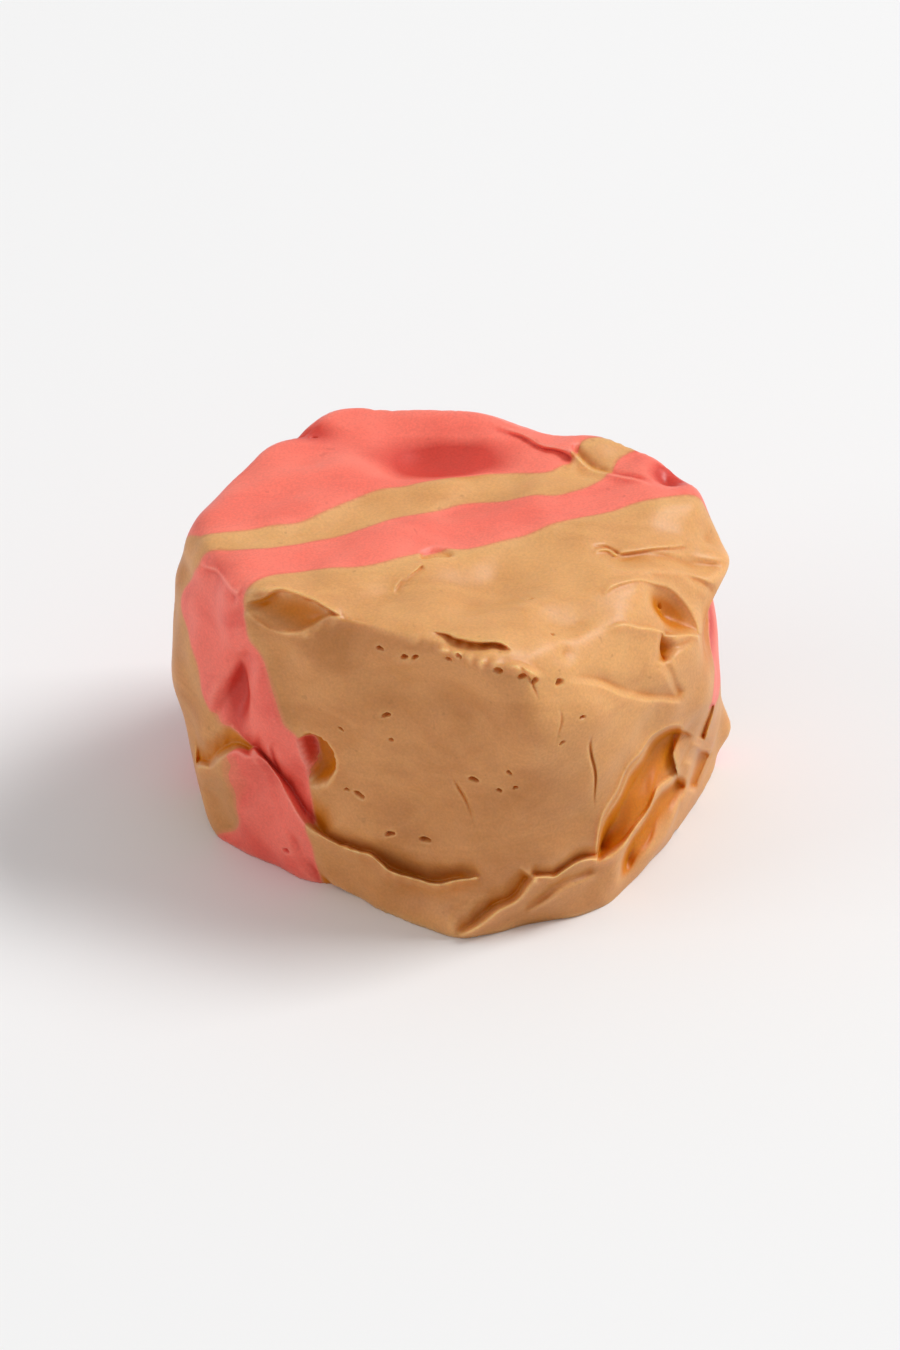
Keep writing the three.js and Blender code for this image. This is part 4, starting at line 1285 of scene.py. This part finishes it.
    def cut(self, layer: Layer, lump: bpy.types.Mesh, solids: dict[Sheet, bpy.types.Object],
            ) -> bpy.types.Object:
        """Cuts one layer out of the lump and returns it."""
        piece = show(f"taffy_{layer.node}", lump.copy())
        for sheet, operation in ((layer.in_front, "INTERSECT"), (layer.behind, "DIFFERENCE")):
            if sheet is not None:
                cutter = piece.modifiers.new("cut", "BOOLEAN")
                cutter.operation = operation
                cutter.solver = "MANIFOLD"
                cutter.object = solids[sheet]
        shown = piece.evaluated_get(bpy.context.evaluated_depsgraph_get())
        mesh = bpy.data.meshes.new_from_object(shown)
        piece.modifiers.clear()
        piece.data = mesh
        mesh.name = piece.name
        return piece

    def finish_layer(self, piece: bpy.types.Object, layer: Layer, place: Place) -> None:
        """Marks a layer's seams, gives it its finish and sets it on the part."""
        mesh = piece.data
        points = place.back(read(mesh.vertices, "co", 3, float) / MM)
        away = np.min([
            np.abs(sheet.distance(points)) for sheet in (layer.behind, layer.in_front)
            if sheet is not None], axis=0)
        carry(mesh, "seam", np.clip(1 - away / self.seam_width, 0, 1))
        self.sharpen_rims(mesh)
        mesh.materials.clear()
        mesh.materials.append(MATERIALS[layer.tint])
        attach(piece, "root")
        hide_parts(layer.node)

    @staticmethod
    def sharpen_rims(mesh: bpy.types.Mesh) -> None:
        """Keeps the skin's shading apart from that of the cut faces under it."""
        index = read(mesh.polygons, "material_index")
        loops = read(mesh.loops, "edge_index")
        owner = np.repeat(index, read(mesh.polygons, "loop_total"))
        cut = np.bincount(loops, owner, len(mesh.edges))
        total = np.bincount(loops, minlength=len(mesh.edges))
        rims = (cut > 0) & (cut < total)
        sharp = mesh.attributes.get("sharp_edge") or mesh.attributes.new(
            "sharp_edge", "BOOLEAN", "EDGE")
        sharp.data.foreach_set("value", rims)
        mesh.polygons.foreach_set("material_index", np.zeros(len(index), np.int32))
        mesh.update()

    def build(self) -> Place:
        """Builds all four layers and returns how they were placed."""
        lump, place = self.build_lump()
        for _ in range(2):  # one for the skin, and one for the cut faces
            lump.materials.append(None)
        solids = {sheet: self.build_behind(sheet, place) for sheet in SHEETS}
        for layer in self.layers:
            piece = self.cut(layer, lump, solids)
            self.finish_layer(piece, layer, place)
            LOG.info("%s: %d faces", piece.name, len(piece.data.polygons))
        for solid in solids.values():
            bpy.data.meshes.remove(solid.data)
        bpy.data.meshes.remove(lump)
        return place


# ---- the studio


@dataclass
class Studio:
    """A plain pale floor, soft light from the upper right, and the camera.

    Places and lengths are in metres, the sensor is in millimetres and the frame in pixels.
    """

    floor_colour: str = "#ececec"
    floor_roughness: float = 0.9
    sky_colour: str = "#ffffff"
    floor_half: float = 1.5
    key_place: tuple[float, float, float] = (0.84, 0.18, 0.96)
    key_power: float = 11.7
    key_size: float = 0.5
    fill_place: tuple[float, float, float] = (-0.9, -0.3, 0.3)
    fill_power: float = 1.8
    sky_strength: float = 0.53
    frame_height: int = 1350
    pixels_per_mm: float = 20.0
    sensor: float = 36.0
    nearest: float = 0.01

    def build_floor(self) -> None:
        """Lays the floor."""
        shape = bmesh.new()
        bmesh.ops.create_grid(shape, x_segments=1, y_segments=1, size=self.floor_half)
        mesh = into_mesh(shape, "floor")
        material = bpy.data.materials.new("matt_paper")
        material.use_nodes = True
        shader = material.node_tree.nodes["Principled BSDF"]
        shader.inputs["Base Color"].default_value = linear(self.floor_colour)
        shader.inputs["Roughness"].default_value = self.floor_roughness
        mesh.materials.append(material)
        show("floor", mesh)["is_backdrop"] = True

    def build_light(self) -> None:
        """Hangs the key light and the fill light, and lights the sky."""
        for name, place, power in (("key", self.key_place, self.key_power),
                                   ("fill", self.fill_place, self.fill_power)):
            light = bpy.data.lights.new(name, "AREA")
            light.energy = power
            light.size = self.key_size
            lamp = show(name, light)
            lamp.location = place
            lamp.rotation_euler = (-Vector(place)).to_track_quat("-Z", "Y").to_euler()
        world = bpy.data.worlds.new("studio_sky")
        world.use_nodes = True
        sky = world.node_tree.nodes["Background"]
        sky.inputs["Color"].default_value = linear(self.sky_colour)
        sky.inputs["Strength"].default_value = self.sky_strength
        bpy.context.scene.world = world
        bpy.context.scene.view_settings.view_transform = "Standard"

    def build_camera(self, middle: Vector) -> None:
        """Sets the camera where the marks are drawn as seen from.

        Args:
            middle: The middle of the lump, in metres in the part's frame.
        """
        data = bpy.data.cameras.new("camera")
        data.sensor_width = self.sensor
        tall_mm = self.frame_height / self.pixels_per_mm
        data.lens = FRONT.distance * self.sensor / tall_mm
        data.clip_start = self.nearest
        camera = show("camera", data)
        back = Vector(FRONT.axes()[2])
        camera.location = middle + back * FRONT.distance * MM
        camera.rotation_euler = (-back).to_track_quat("-Z", "Y").to_euler()
        bpy.context.scene.camera = camera


MATERIALS: dict[Tint, bpy.types.Material] = {}


def main() -> None:
    """Builds the taffy and the studio around it."""
    logging.basicConfig(level=logging.INFO, format="%(name)s %(message)s")
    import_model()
    for tint, finish in FINISHES.items():
        MATERIALS[tint] = finish.material()
    place = TaffyChunk().build()
    studio = Studio()
    studio.build_floor()
    studio.build_light()
    studio.build_camera(Vector(place.put(np.array(CORE))) * MM)


if __name__ == "__main__":
    main()
